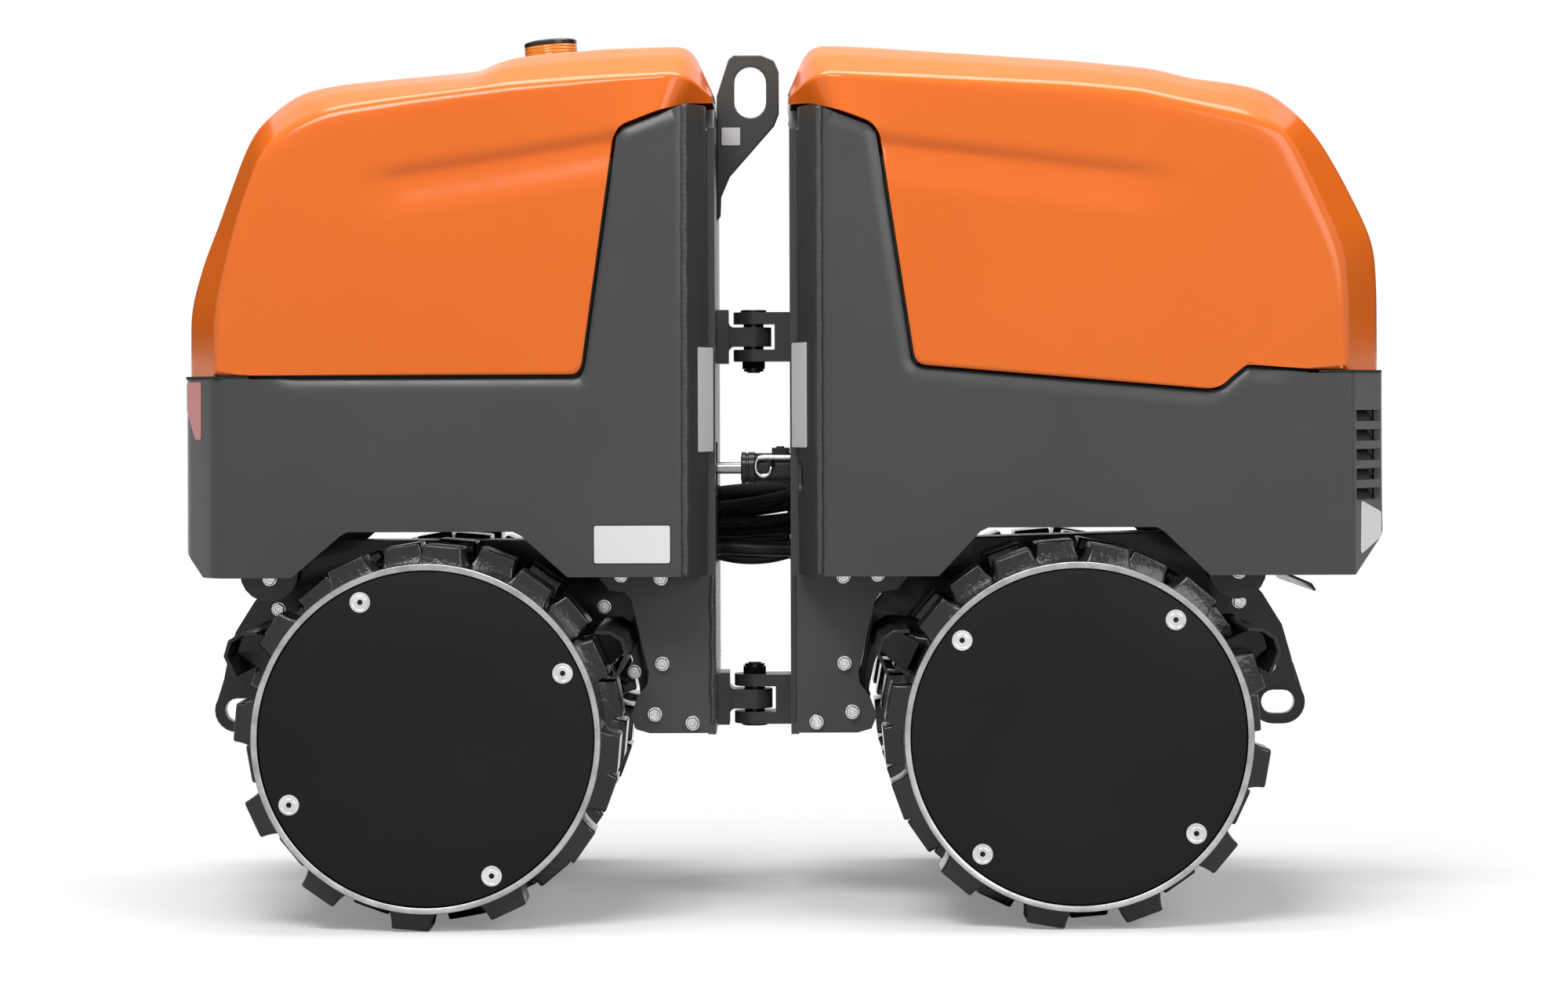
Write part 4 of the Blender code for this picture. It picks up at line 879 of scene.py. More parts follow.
@dataclass
class PadDrum:
    """Cast padfoot drum half: turned shell, machined end ring, tapered pads, cover and its four screws."""

    half: Half
    side: Side
    axle_x: float
    first_pad: float
    first_screw: float
    axle_z: float = 0.2827
    shell_r: float = 0.2553
    shell_chamfer: float = 0.0015
    ring_r: float = 0.2455
    ring_thick: float = 0.003
    ring_edge: float = 0.0008
    ring_inset: float = 0.0006
    ring_sink: float = 0.0002
    inner_y: float = 0.075
    outer_y: float = 0.410
    end_gap: float = 0.0008
    web: Pair = (0.112, 0.132)
    web_chamfer: float = 0.004
    bore: float = 0.0456
    rows: int = 3
    pads: int = 12
    pad_base: Pair = (0.0695, 0.0935)
    pad_tip: Pair = (0.0565, 0.0815)
    pad_height: float = 0.0257
    pad_sink: float = 0.004
    pad_rings: int = 5
    face_share: float = 0.45
    waist: float = 0.0016
    corner: float = 0.0048
    corner_steps: int = 6
    edge_round: float = 0.0026
    cover_sink: float = 0.0021
    cover_gap: float = 0.0012
    cover_thick: float = 0.006
    screws: int = 4
    screw_r: float = 0.221
    screw_head: float = 0.0155
    screw_sink: float = 0.0016

    @property
    def name(self) -> str:
        """The CAD body and the drum's node share this name."""
        return f"{self.half.label}_drum_{self.side.label}"

    def placed(self, shape: Shape) -> Shape:
        """A shape about the Z axis moved to the axle, its Z running out to this side."""
        return aimed(shape, (self.axle_x, 0.0, self.axle_z), (0.0, self.side.value, 0.0))

    def round_the_axle(self, points: np.ndarray, clockwise: float) -> np.ndarray:
        """Points moved out to this side and turned about the axle.

        Each goes to x0 + x cos a + z sin a, z0 + z cos a - x sin a and y times the side's sign.

        Args:
            points: z up from the axle's centre, y growing outwards along it, x around.
            clockwise: degrees from the top, as seen from the right side.

        Returns:
            The moved points.
        """
        a = radians(clockwise)
        x, y, z = np.asarray(points).T
        return np.stack([self.axle_x + x * cos(a) + z * sin(a), self.side.value * y,
                         self.axle_z + z * cos(a) - x * sin(a)], -1)

    def pad(self) -> Shape:
        """One pad standing on the drum's skin, as rings of a rounded rectangle from its root to its tip.

        A ring's points are the corner centres plus a quarter circle each. Up the flank its half sizes go
        from root to tip, less a slight waist. Over the edge they shrink by r(1 - cos t) while the height
        grows by r sin t. Two more rings close the face.

        Returns:
            The pad's points and quads.
        """
        r, count, whole = self.edge_round, self.pad_rings, self.pad_height + self.pad_sink
        arc = np.linspace(0, pi / 2, self.corner_steps)
        turn = np.concatenate([arc + k * pi / 2 for k in range(4)])
        signs = np.repeat(np.array([[1, 1], [-1, 1], [-1, -1], [1, -1]]), len(arc), 0)
        over = np.linspace(0, pi / 2, count)[1:]
        height = np.concatenate([np.linspace(0, 1, count) * (whole - r) - self.pad_sink,
                                 self.pad_height - r + r * np.sin(over)])
        taper = np.clip((height + self.pad_sink) / whole, 0, 1)
        inset = np.concatenate([np.zeros(count), r * (1 - np.cos(over))]) + self.waist * np.sin(pi * taper)
        base, tip = np.array(self.pad_base) / 2, np.array(self.pad_tip) / 2
        halves = base + (tip - base) * taper[:, None] - inset[:, None]
        corner = self.corner * np.stack([np.cos(turn), np.sin(turn)], -1)
        rings = (halves[:, None] - self.corner) * signs + corner
        level = np.repeat(self.shell_r + height[:, None], len(turn), 1)
        points = np.concatenate([rings, level[..., None]], -1)
        face = points[-1] * np.array([self.face_share, self.face_share, 1.0])
        centre = face * np.array([0.0, 0.0, 1.0])
        points = np.concatenate([points, face[None], centre[None]])
        return points.reshape(-1, 3), grid_faces(len(points), len(turn), closed=True)

    def build(self) -> None:
        """Makes the shell with its pads, the ring, the cover and its screws."""
        r, ring, c, f = self.shell_r, self.ring_r, self.shell_chamfer, self.web_chamfer
        (low, high), inner, end = self.web, self.inner_y, self.outer_y - self.end_gap
        shell = turned([(r - c, inner), (r, inner + c), (r, end - c), (r - c, end), (ring, end), (ring, high),
                        (self.bore, high), (self.bore, low), (ring - f, low), (ring, low - f), (ring, inner),
                        (r - c, inner)], 120)
        shapes = [self.placed(shell)]
        pad, quads = self.pad()
        pitch = (self.outer_y - self.inner_y) / self.rows
        for row in range(self.rows):
            standing = pad + np.array([0, self.outer_y - pitch * (row + 0.5), 0])
            for k in range(self.pads):
                angle = self.first_pad + 360 / self.pads * (k + 0.5 * (row % 2))
                shapes.append((self.round_the_axle(standing, angle), quads))
        closed_piece(self.name + "_casting", shapes, self.name, "cast_drum", 32.0, stands_for=(self.name,))
        self.add_ring()
        self.add_cover()
        self.add_screws()

    def add_ring(self) -> None:
        """The machined end of the shell, a bare ring round the cover."""
        edge, inset, out = self.ring_edge, self.ring_inset, self.outer_y - self.ring_sink
        high, low, back = self.shell_r - inset, self.ring_r + self.ring_sink, out - self.ring_thick
        ring = turned([(high - inset, back), (high, out - 0.0010), (high - edge, out), (low + edge, out),
                       (low, out - edge), (low, back), (high - inset, back)], 160)
        closed_piece(self.name + "_machined_end", [self.placed(ring)], self.name, "machined_ring", 50.0)

    def add_cover(self) -> None:
        """The cover disc, with a rounded edge, just below the ring."""
        out, edge = self.outer_y - self.cover_sink, self.ring_r - self.cover_gap
        back = out - self.cover_thick
        disc = turned([(0, out), (edge * 0.5, out), (edge - 0.0016, out), (edge - 0.0005, out - 0.0005),
                       (edge, out - 0.0016), (edge, back), (0, back)], 120)
        node = f"{self.half.label}_cover_{self.side.label}"
        closed_piece(self.name + "_cover", [self.placed(disc)], self.name, "cover_plate", 40.0,
                     stands_for=(node,))

    def add_screws(self) -> None:
        """The countersunk socket screws that hold the cover."""
        r, out = self.screw_head, self.outer_y - self.screw_sink
        screw = turned([(r * 0.92, out - 0.004), (r, out - 0.0010), (r - 0.0007, out - 0.0002), (0.0112, out),
                        (0.0106, out - 0.0004), (0.0098, out - 0.0004), (0.0092, out),
                        (0.0042, out - 0.0002), (0.0036, out - 0.0008), (0.0034, out - 0.0028),
                        (0.0, out - 0.0034)], 36)
        shapes = []
        for k in range(self.screws):
            a = radians(self.first_screw + 360 / self.screws * k)
            place = (self.axle_x + self.screw_r * sin(a), 0.0, self.axle_z + self.screw_r * cos(a))
            shapes.append(aimed(screw, place, (0.0, self.side.value, 0.0)))
        closed_piece(self.name + "_screws", shapes, self.name, "zinc", 35.0)


def build_drums() -> None:
    """Four drum halves. Columns: half, axle x, first pad's angle, first screw's angle."""
    rows = ((Half.REAR, -0.523, 5.0, -25.5), (Half.FRONT, 0.428, 10.0, 39.7))
    for half, axle_x, first_pad, first_screw in rows:
        for side in Side:
            PadDrum(half, side, axle_x, first_pad, first_screw).build()


@dataclass(frozen=True)
class Wall:
    """An upright outer face of the frame, from one plan point on the right side to another."""

    start: Pair
    end: Pair
    side: Side = Side.RIGHT

    def placed(self, points: np.ndarray) -> np.ndarray:
        """Moves points given as run along the face, height and distance out from it.

        In plan each goes to start + run times the way + distance times the outward normal.

        Args:
            points: an n by 3 array of run, height and distance.

        Returns:
            The points, mirrored for the left side.
        """
        run, height, out = np.asarray(points, dtype=float).reshape(-1, 3).T
        start, end = np.array(self.start), np.array(self.end)
        way = (end - start) / np.linalg.norm(end - start)
        normal = np.array([way[1], -way[0]])
        if normal @ (start + end) < 0:
            normal = -normal
        x, y = start[:, None] + run * way[:, None] + out * normal[:, None]
        return np.stack([x, y * (-self.side.value), height], -1)

    def on(self, side: Side) -> Wall:
        """The same face on one of the machine's sides."""
        return Wall(self.start, self.end, side)


REAR_SIDE = Wall((-0.1467, -0.300), (-0.846, -0.300))
REAR_FACET = Wall((-0.1467, -0.300), (-0.1042, -0.195))
FRONT_FACET = Wall((0.0517, -0.300), (0.0092, -0.195))
REAR_CORNER = Wall((-0.846, -0.300), (-0.903, -0.220))
FRONT_CORNER = Wall((0.846, -0.300), (0.903, -0.220))
FRONT_END = Wall((0.903, -0.220), (0.903, 0.0))
EYE_FACE = Wall((-0.1042, -0.010), (-0.0065, -0.010))


def rounded_outline(corners: Line, radius: float, steps: int = 6) -> np.ndarray:
    """A polygon with each corner replaced by a curve that starts and ends one radius from it.

    Each curve is (1-t)(1-t) a + 2t(1-t) corner + t t b, where a and b lie on the corner's two edges.

    Args:
        corners: the polygon's corners in order.
        radius: how far from its corner each curve starts.
        steps: points on a curve.

    Returns:
        An n by 2 array.
    """
    points = np.array(corners, dtype=float)
    before, after = np.roll(points, 1, 0) - points, np.roll(points, -1, 0) - points
    a = points + before / np.linalg.norm(before, axis=1)[:, None] * radius
    b = points + after / np.linalg.norm(after, axis=1)[:, None] * radius
    t = np.linspace(0, 1, steps)[None, :, None]
    curve = (1 - t) ** 2 * a[:, None] + 2 * t * (1 - t) * points[:, None] + t * t * b[:, None]
    return curve.reshape(-1, 2)


def slab(outline: np.ndarray, low: float, high: float, edge: float) -> Shape:
    """A flat piece over an outline, with a small slope round its top edge.

    Args:
        outline: an n by 2 array.
        low, high: its two heights.
        edge: how wide and high the slope is.

    Returns:
        Points and quads; the quads at both middles share a point.
    """
    centre = outline.mean(0)
    inner = centre + (outline - centre) * (1 - edge / np.abs(outline - centre).max())
    middle = np.repeat(centre[None], len(outline), 0)
    rings = [(middle, low), (outline, low), (outline, high - edge), (inner, high), (middle, high)]
    points = np.stack([np.column_stack([ring, np.full(len(ring), level)]) for ring, level in rings])
    return points.reshape(-1, 3), grid_faces(len(rings), len(outline), closed=True)


@dataclass
class Plate:
    """A blank plate or reflector stuck on a wall: an outline with rounded corners, and a thin dark border."""

    name: str
    body: str
    wall: Wall
    corners: Line
    finish: str = "blank_plate"
    radius: float = 0.003
    thick: float = 0.0009
    border: float = 0.0012
    border_share: float = 0.55
    sink: float = 0.0004
    slope: float = 0.0002

    def build(self) -> None:
        """Makes the plate and, if it has one, its border."""
        outline = rounded_outline(self.corners, self.radius)
        if self.border:
            self.layer("_border", outline, "cover_plate", self.thick * self.border_share)
            centre = outline.mean(0)
            shrink = 1 - self.border / np.abs(outline - centre).max(0)
            outline = centre + (outline - centre) * shrink
        self.layer("", outline, self.finish, self.thick)

    def layer(self, suffix: str, outline: np.ndarray, finish: str, thick: float) -> None:
        """One flat layer on the wall.

        Args:
            suffix: the end of the layer's name.
            outline: its outline as run and height.
            finish: its finish.
            thick: how far it stands out.
        """
        points, quads = slab(outline, -self.sink, thick, self.slope)
        shape = (self.wall.placed(points), quads)
        closed_piece(self.name + suffix, [shape], self.body, finish, 30.0)


def box_corners(run: Pair, height: Pair) -> list[Pair]:
    """The four corners of a rectangle, in order."""
    return [(run[0], height[0]), (run[1], height[0]), (run[1], height[1]), (run[0], height[1])]


def build_plates() -> None:
    """Blank plates and reflectors, on both sides.

    Columns: name, body, wall, corners as run and height, finish, radius and border.
    """
    blank, facet = "blank_plate", (0.048, 0.1045)
    rows = (
        ("side_plate", "rear_half", REAR_SIDE, box_corners((0.0222, 0.1376), (0.5315, 0.5897)),
         blank, 0.0035, 0.0012),
        ("rear_facet_plate", "rear_half", REAR_FACET, box_corners(facet, (0.6973, 0.8544)),
         blank, 0.0025, 0.0),
        ("front_facet_plate", "front_half", FRONT_FACET, box_corners(facet, (0.7032, 0.8610)),
         blank, 0.0025, 0.0),
        ("eye_plate", "rear_half", EYE_FACE, box_corners((0.0069, 0.0377), (1.1743, 1.2038)),
         blank, 0.0020, 0.0008),
        ("front_reflector", "front_half", FRONT_CORNER,
         [(0.0233, 0.5414), (0.0925, 0.5661), (0.0925, 0.6034), (0.0259, 0.6219)],
         "white_reflector", 0.007, 0.0),
        ("rear_reflector", "rear_half", REAR_CORNER,
         [(0.0457, 0.8044), (0.0457, 0.7175), (0.0646, 0.7181), (0.0925, 0.7621), (0.0925, 0.8044)],
         "red_reflector", 0.005, 0.0),
    )
    for name, body, wall, corners, finish, radius, border in rows:
        for side in Side:
            Plate(f"{name}_{side.label}", body, wall.on(side), corners, finish, radius, border=border).build()


@dataclass
class Bolts:
    """Zinc flange bolts on upright faces, as one piece for each half."""

    half: Half
    places: Sequence[Point]
    flange: float = 0.0115
    hexagon: float = 0.0098
    high: float = 0.0100

    def head(self) -> Shape:
        """A washer face and a six-sided head with a chamfered top, standing on zero."""
        f, h, top, shoulder = self.flange, self.hexagon, self.high, self.high - 0.0014
        washer = turned([(0, 0), (f, 0), (f, 0.0016), (f - 0.0009, 0.0024), (0, 0.0026)], 28)
        head = turned([(0, 0.002), (h, 0.002), (h, shoulder), (h * 0.86, top), (h * 0.50, top),
                       (h * 0.42, top - 0.0006), (0, top - 0.0006)], 6)
        return joined([washer, head])

    def build(self) -> None:
        """Places a head at each x, y, z on the right side and one on the left side, each turned a little."""
        head = self.head()
        shapes = [aimed(head, (x, y * -side.value, z), (0.0, side.value, 0.0), number * 0.7)
                  for number, (x, y, z) in enumerate(self.places) for side in Side]
        closed_piece(f"{self.half.label}_bolts", shapes, self.half.body, "zinc", 28.0)


def build_bolts() -> None:
    """Bolts of the brackets and carriers. Columns: x, y and z of the face that each head sits on."""
    bracket, carrier = -0.195, -0.055
    Bolts(Half.REAR, ((-0.2485, bracket, 0.510), (-0.1879, bracket, 0.5052), (-0.1861, bracket, 0.3756),
                      (-0.1974, bracket, 0.2989), (-0.1403, bracket, 0.2853), (-0.7802, bracket, 0.5064),
                      (-0.7875, carrier, 0.4518), (-0.2808, carrier, 0.4542),
                      (-0.2344, carrier, 0.3529))).build()
    Bolts(Half.FRONT, ((0.0892, bracket, 0.5076), (0.1415, bracket, 0.510), (0.0904, bracket, 0.3756),
                       (0.1023, bracket, 0.3019), (0.0476, bracket, 0.2865), (0.6884, bracket, 0.5124),
                       (0.7069, carrier, 0.4591), (0.7527, carrier, 0.3596))).build()


@dataclass
class Louvres:
    """Sloped vanes behind the frame's openings: each rises inwards from under its opening."""

    spans: Sequence[tuple[Wall, float, float]]
    top: float = 0.757
    high: float = 0.017
    pitch: float = 0.0292
    rows: int = 5
    inset: float = 0.0084
    reach: float = 0.0150
    rise: float = 0.0235
    drop: float = 0.003
    wall: float = 0.0016
    # Plan, wall and heights of the black panel that paints the shade behind the vanes.
    shroud_plan: Line = ((0.8170, -0.2890), (0.8740, -0.2060), (0.8740, 0.2060), (0.8170, 0.2890))
    shroud_wall: float = 0.0015
    shroud_z: Pair = (0.602, 0.776)
    post_x: Pair = (0.8742, 0.8944)
    post_y: float = 0.2155
    post_half: float = 0.003

    def build(self) -> None:
        """A vane for each row and span: its section is a sloped strip, carried along the wall."""
        near, far = -self.inset, -self.inset - self.reach
        shapes = []
        for wall, start, end in self.spans:
            for row in range(self.rows):
                low = self.top - self.high - row * self.pitch - self.drop
                high = low + self.rise
                section = [(low, near), (high, far), (high, far - self.wall), (low - self.wall, near)]
                ends = np.array([(run, z, out) for run in (start, end) for z, out in section])
                shapes.append(capped(wall.placed(ends).reshape(2, -1, 3)))
        closed_piece("louvre_vanes", shapes, "front_half", "grey_paint", None)
        self.shroud()

    def shroud(self) -> None:
        """A black panel behind the vanes that paints the shade of the space inside the front end, bent at
        both corners, with a post at each corner.
        """
        plan = np.array(self.shroud_plan)
        loop = np.concatenate([plan, (plan - np.array([self.shroud_wall, 0.0]))[::-1]])
        points = np.concatenate([np.column_stack([loop, np.full(8, z)]) for z in self.shroud_z])
        faces = [[k, (k + 1) % 8, (k + 1) % 8 + 8, k + 8] for k in range(8)]
        faces += [[k + lift, k + 1 + lift, 6 - k + lift, 7 - k + lift] for k in range(3) for lift in (0, 8)]
        shapes = [(points, faces)]
        for side in Side:
            y, half = self.post_y * side.value, self.post_half
            shapes.append(slab(np.array(box_corners(self.post_x, (y - half, y + half))), *self.shroud_z, 0.0))
        # Black paint on this panel is painted shade, seen through the vanes where the inside of the front end
        # is dark.
        closed_piece("louvre_shroud", shapes, "front_half", "black_paint", None)


def build_louvres() -> None:
    """Vanes behind both corner windows and the end wall's openings."""
    spans = []
    for side in Side:
        spans += [(FRONT_CORNER.on(side), 0.0080, 0.0930), (FRONT_END.on(side), 0.0120, 0.2130)]
    Louvres(spans).build()


def swept(line: np.ndarray, radii: np.ndarray, sides: int = 20, flat: float = 1.0) -> Shape:
    """A tube along a line, with a radius at each of its points and closed ends.

    Each ring is line + r (cos a u + sin a v), with u level and v upright across the line's direction.

    Args:
        line: an n by 3 array.
        radii: n radii.
        sides: how many points go round.
        flat: the section's width as a share of its height.

    Returns:
        Points and quads.
    """
    ends = np.concatenate([line[:1], line, line[-1:]])
    size = np.concatenate([[0.0], radii, [0.0]])
    way = np.gradient(line, axis=0)
    way = np.concatenate([way[:1], way, way[-1:]])
    way /= np.linalg.norm(way, axis=1)[:, None]
    start = np.where(np.abs(way[:, 2:]) > 0.9, [[0.0, 1.0, 0.0]], [[0.0, 0.0, 1.0]])
    u = np.cross(way, start)
    u /= np.linalg.norm(u, axis=1)[:, None]
    v = np.cross(u, way)
    a = np.linspace(0, 2 * pi, sides, endpoint=False)
    ring = np.cos(a)[None, :, None] * u[:, None] * flat + np.sin(a)[None, :, None] * v[:, None]
    points = ends[:, None] + ring * size[:, None, None]
    return points.reshape(-1, 3), grid_faces(len(ends), sides, closed=True)


def smooth_line(points: Sequence[Point], count: int) -> np.ndarray:
    """A curve through points: Catmull-Rom pieces, read at even steps of its length.

    Args:
        points: the places it goes through.
        count: how many points the line has.

    Returns:
        A count by 3 array.
    """
    p = np.array(points, dtype=float)
    p = np.concatenate([2 * p[:1] - p[1:2], p, 2 * p[-1:] - p[-2:-1]])
    t = np.linspace(0, 1, 24, endpoint=False)[None, :, None]
    a, b, c, d = (p[k:len(p) - 3 + k, None] for k in range(4))
    square, cube = 2 * a - 5 * b + 4 * c - d, 3 * b - a - 3 * c + d
    curve = 0.5 * (2 * b + (c - a) * t + square * t ** 2 + cube * t ** 3)
    return resampled(np.concatenate([curve.reshape(-1, 3), p[-2:-1]]), count)


@dataclass
class Hose:
    """A hose or conduit between the posts.

    Its y and z are at the rear post, in the middle and at the front post.
    """

    name: str
    radius: float
    y: Point
    z: Point
    finish: str = "hose_skin"
    ribs: float = 0.0
    flat: float = 1.0
    stands_for: tuple[str, ...] = ()
    start_x: float = -0.1040
    end_x: float = 0.0090
    rib_pitch: float = 0.0026
    collar: float = 0.0022
    collar_length: float = 0.0026

    @staticmethod
    def bent(values: Point) -> np.ndarray:
        """Three values as five: those between take their neighbours' mean and a quarter of the sag."""
        five = np.interp(np.arange(5), (0, 2, 4), values)
        five[1:4:2] += 0.25 * (values[1] - (values[0] + values[2]) / 2)
        return five

    def build(self) -> None:
        """A tube whose radius swells at each rib, with a collar at both posts."""
        x = np.linspace(self.start_x, self.end_x, 5)
        places = np.stack([x, self.bent(self.y), self.bent(self.z)], -1)
        line = smooth_line(places, 320 if self.ribs else 60)
        run = np.linspace(0, np.linalg.norm(np.diff(line, axis=0), axis=1).sum(), len(line))
        wave = 0.5 + 0.5 * np.cos(2 * pi * run / self.rib_pitch)
        radii = self.radius - self.ribs * (1 - np.sqrt(wave))
        radii = radii + self.collar * (np.minimum(run, run[-1] - run) < self.collar_length)
        piece = outward(mesh_from(self.name, *swept(line, radii, 18, self.flat)))
        dressed(piece, self.finish, 60.0)
        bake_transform(piece)
        if self.stands_for:
            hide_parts(*self.stands_for)


def build_hoses() -> None:
    """The bundle between the posts, top to bottom.

    Columns: name, radius, y and z at the rear post, in the middle and at the front one, finish, depth of the
    ribs, width as a share of height, and the CAD nodes it stands for.
    """
    rubber, skin = "rubber", "hose_skin"
    rows = (
        ("sleeve", 0.0120, (0.040, 0.044, 0.048), (0.6270, 0.6325, 0.6360), rubber, 0.0, 1.2,
         ("hose_sleeve",)),
        ("sleeve_back", 0.0160, (0.066, 0.060, 0.060), (0.6080, 0.6120, 0.6140), rubber, 0.0, 1.0, ()),
        ("conduit_top", 0.0080, (0.006, 0.002, 0.010), (0.6080, 0.6150, 0.6265), skin, 0.0009, 1.0,
         ("hose_conduit_upper",)),
        ("conduit_second", 0.0085, (0.020, 0.018, 0.014), (0.5950, 0.6000, 0.6090), skin, 0.0009, 1.0, ()),
        ("conduit_third", 0.0085, (0.002, -0.002, 0.004), (0.5840, 0.5850, 0.5900), skin, 0.0010, 1.0, ()),
        ("conduit_low", 0.0092, (0.026, 0.022, 0.018), (0.5670, 0.5690, 0.5735), skin, 0.0011, 1.0,
         ("hose_conduit_lower",)),
        ("hydraulic_top", 0.0098, (0.052, 0.050, 0.050), (0.5560, 0.5545, 0.5570), skin, 0.0, 1.0,
         ("hose_hydraulic_upper",)),
        ("hydraulic_front", 0.0112, (0.012, 0.006, 0.010), (0.5440, 0.5410, 0.5400), skin, 0.0, 1.0,
         ("hose_hydraulic_lower",)),
        ("hydraulic_low", 0.0100, (0.036, 0.034, 0.034), (0.5320, 0.5250, 0.5345), skin, 0.0, 1.0, ()),
        ("hydraulic_back", 0.0105, (0.076, 0.074, 0.070), (0.5790, 0.5750, 0.5760), skin, 0.0, 1.0, ()),
    )
    for name, radius, y, z, finish, ribs, flat, nodes in rows:
        Hose("hose_" + name + "_visual", radius, y, z, finish, ribs, flat, nodes).build()


@dataclass
class SteeringCylinder:
    """Hydraulic cylinder between the halves: barrel with gland, hard tube and port, and a chromed rod."""

    y: float = -0.085
    z: float = 0.670
    barrel_eye_x: float = 0.270
    rod_eye_x: float = -0.185
    barrel_r: float = 0.0232
    gland_r: float = 0.0248
    gland: Pair = (-0.0669, -0.0449)
    rod_r: float = 0.0090
    rod_end_x: float = 0.080
    eye_r: float = 0.0238
    eye_bore: float = 0.0108
    eye_half: float = 0.0138
    neck_r: float = 0.0150
    tube_r: float = 0.0034
    tube_gap: float = 0.0006
    nut_r: float = 0.0062

    def along(self, profile: Line, sides: int = 48) -> Shape:
        """A profile of (radius, x) turned about the cylinder's axis."""
        points, quads = turned(profile, sides)
        return np.stack([points[:, 2], points[:, 0] + self.y, points[:, 1] + self.z], -1), quads

    def eye(self, x: float) -> Shape:
        """An upright eye with a chamfered bore."""
        r, b, h = self.eye_r, self.eye_bore, self.eye_half
        profile = [(b + 0.001, -h), (r - 0.0015, -h), (r, -h + 0.0015), (r, h - 0.0015), (r - 0.0015, h),
                   (b + 0.001, h), (b, h - 0.001), (b, -h + 0.001), (b + 0.001, -h)]
        return shifted(turned(profile, 40), (x, self.y, self.z))

    def build(self) -> None:
        """Barrel, rod, port and hard tube."""
        (g0, g1), g, b = self.gland, self.gland_r, self.barrel_r
        grooved = [(0, g0), (g - 0.006, g0), (g - 0.005, g0 + 0.0008), (g - 0.0012, g0 + 0.0008),
                   (g, g0 + 0.002), (g, g0 + 0.0075), (g - 0.0016, g0 + 0.0085), (g - 0.0016, g0 + 0.0110),
                   (g, g0 + 0.0120), (g, g1 - 0.0010), (g - 0.0010, g1), (b, g1 + 0.0008)]
        end = self.barrel_eye_x - 0.016
        barrel = self.along(grooved + [(b, end - 0.004), (b - 0.004, end), (0, end)])
        block = rounded_outline(box_corners((-0.0190, 0.0085), (-0.0085, 0.0085)), 0.002)
        port = shifted(slab(block, 0.018, 0.0312, 0.001), (0, self.y, self.z))
        cap = turned(stud(self.nut_r, 0, 0.0024, (0.0006, 0.0006)), 6)
        cap = shifted(cap, (-0.0060, self.y, self.z + 0.0310))
        closed_piece("barrel_visual", [barrel, self.eye(self.barrel_eye_x), port, cap], "ram_barrel",
                     "black_paint", 30.0, stands_for=("cylinder_barrel",))
        start, stop = self.rod_eye_x + 0.018, self.rod_end_x
        rod = self.along([(0, start), (self.rod_r, start), (self.rod_r, stop - 0.002), (0, stop)], 40)
        closed_piece("rod_visual", [rod], "ram_rod", "chrome", 30.0, stands_for=("cylinder_rod",))
        neck = self.along(stud(self.neck_r, start - 0.004, start + 0.016, (0.003, 0.004)), 32)
        closed_piece("rod_eye_visual", [neck, self.eye(self.rod_eye_x)], "ram_rod", "black_paint", 30.0)
        self.tube()

    def tube(self) -> None:
        """A hard tube from the port's far side, forwards along the barrel and back round a bend."""
        y = self.y - self.barrel_r - self.tube_r - self.tube_gap
        bend = ((0.030, 0.6868), (0.000, 0.6868), (-0.0340, 0.6868), (-0.0415, 0.6830), (-0.0440, 0.6740),
                (-0.0425, 0.6640), (-0.0350, 0.6585), (-0.0250, 0.6600), (-0.0206, 0.6680))
        places = [(x, y, z) for x, z in bend] + [(-0.0200, y + 0.004, 0.6760)]
        line = smooth_line(places, 140)
        nut = turned([(0, -0.006), (self.nut_r, -0.006), (self.nut_r, 0.006), (0, 0.006)], 6)
        shapes = [swept(line, np.full(len(line), self.tube_r), 16),
                  aimed(nut, (0.030, y, 0.6868), (1.0, 0.0, 0.0)),
                  aimed(nut, (-0.0200, y + 0.004, 0.6770), (0.0, 0.0, 1.0))]
        closed_piece("hard_tube", shapes, "ram_barrel", "zinc", 40.0)


@dataclass
class HitchPin:
    """A hitch pin with a castle nut on its threaded end; the end shows past the nut, with a split pin."""

    name: str
    node: str
    head_z: float
    nut_z: float
    x: float = -0.0475
    pin_r: float = 0.0158
    thread_r: float = 0.0105
    thread_length: float = 0.0165
    nut_r: float = 0.0204
    crown_r: float = 0.0150
    split_r: float = 0.0013
    split_half: float = 0.0165

    def build(self) -> None:
        """Everything is turned about the pin's axis, from the head to the threaded end."""
        end = abs(self.nut_z - self.head_z)
        r, n, t, thread = self.pin_r, self.nut_r, self.thread_r, end - self.thread_length
        shank = turned([(0, 0), (n - 0.001, 0), (n, 0.001), (n, 0.0035), (r, 0.0035), (r, thread),
                        (t, thread), (t, end - 0.0012), (t - 0.0013, end), (0, end)], 36)
        nut = turned(stud(n, end - 0.0176, end - 0.0056, (n * 0.10, 0.0010)), 6)
        crown = turned(stud(self.crown_r, end - 0.0060, end - 0.0020, (0.0008, 0.0006)), 30)
        shapes = [shank, nut, crown]
        middle = np.array([0.0, 0.0, end - 0.0036])
        for turn in (0.4, 0.4 + pi / 2):
            tip = self.split_half * np.array([cos(turn), sin(turn), 0.0])
            shapes.append(swept(np.array([middle - tip, middle + tip]), np.full(2, self.split_r), 8))
        way = 1.0 if self.nut_z > self.head_z else -1.0
        pin = aimed(joined(shapes), (self.x, 0.0, self.head_z), (0.0, 0.0, way))
        closed_piece(self.name, [pin], "front_half", "black_paint", 30.0, stands_for=(self.node,))


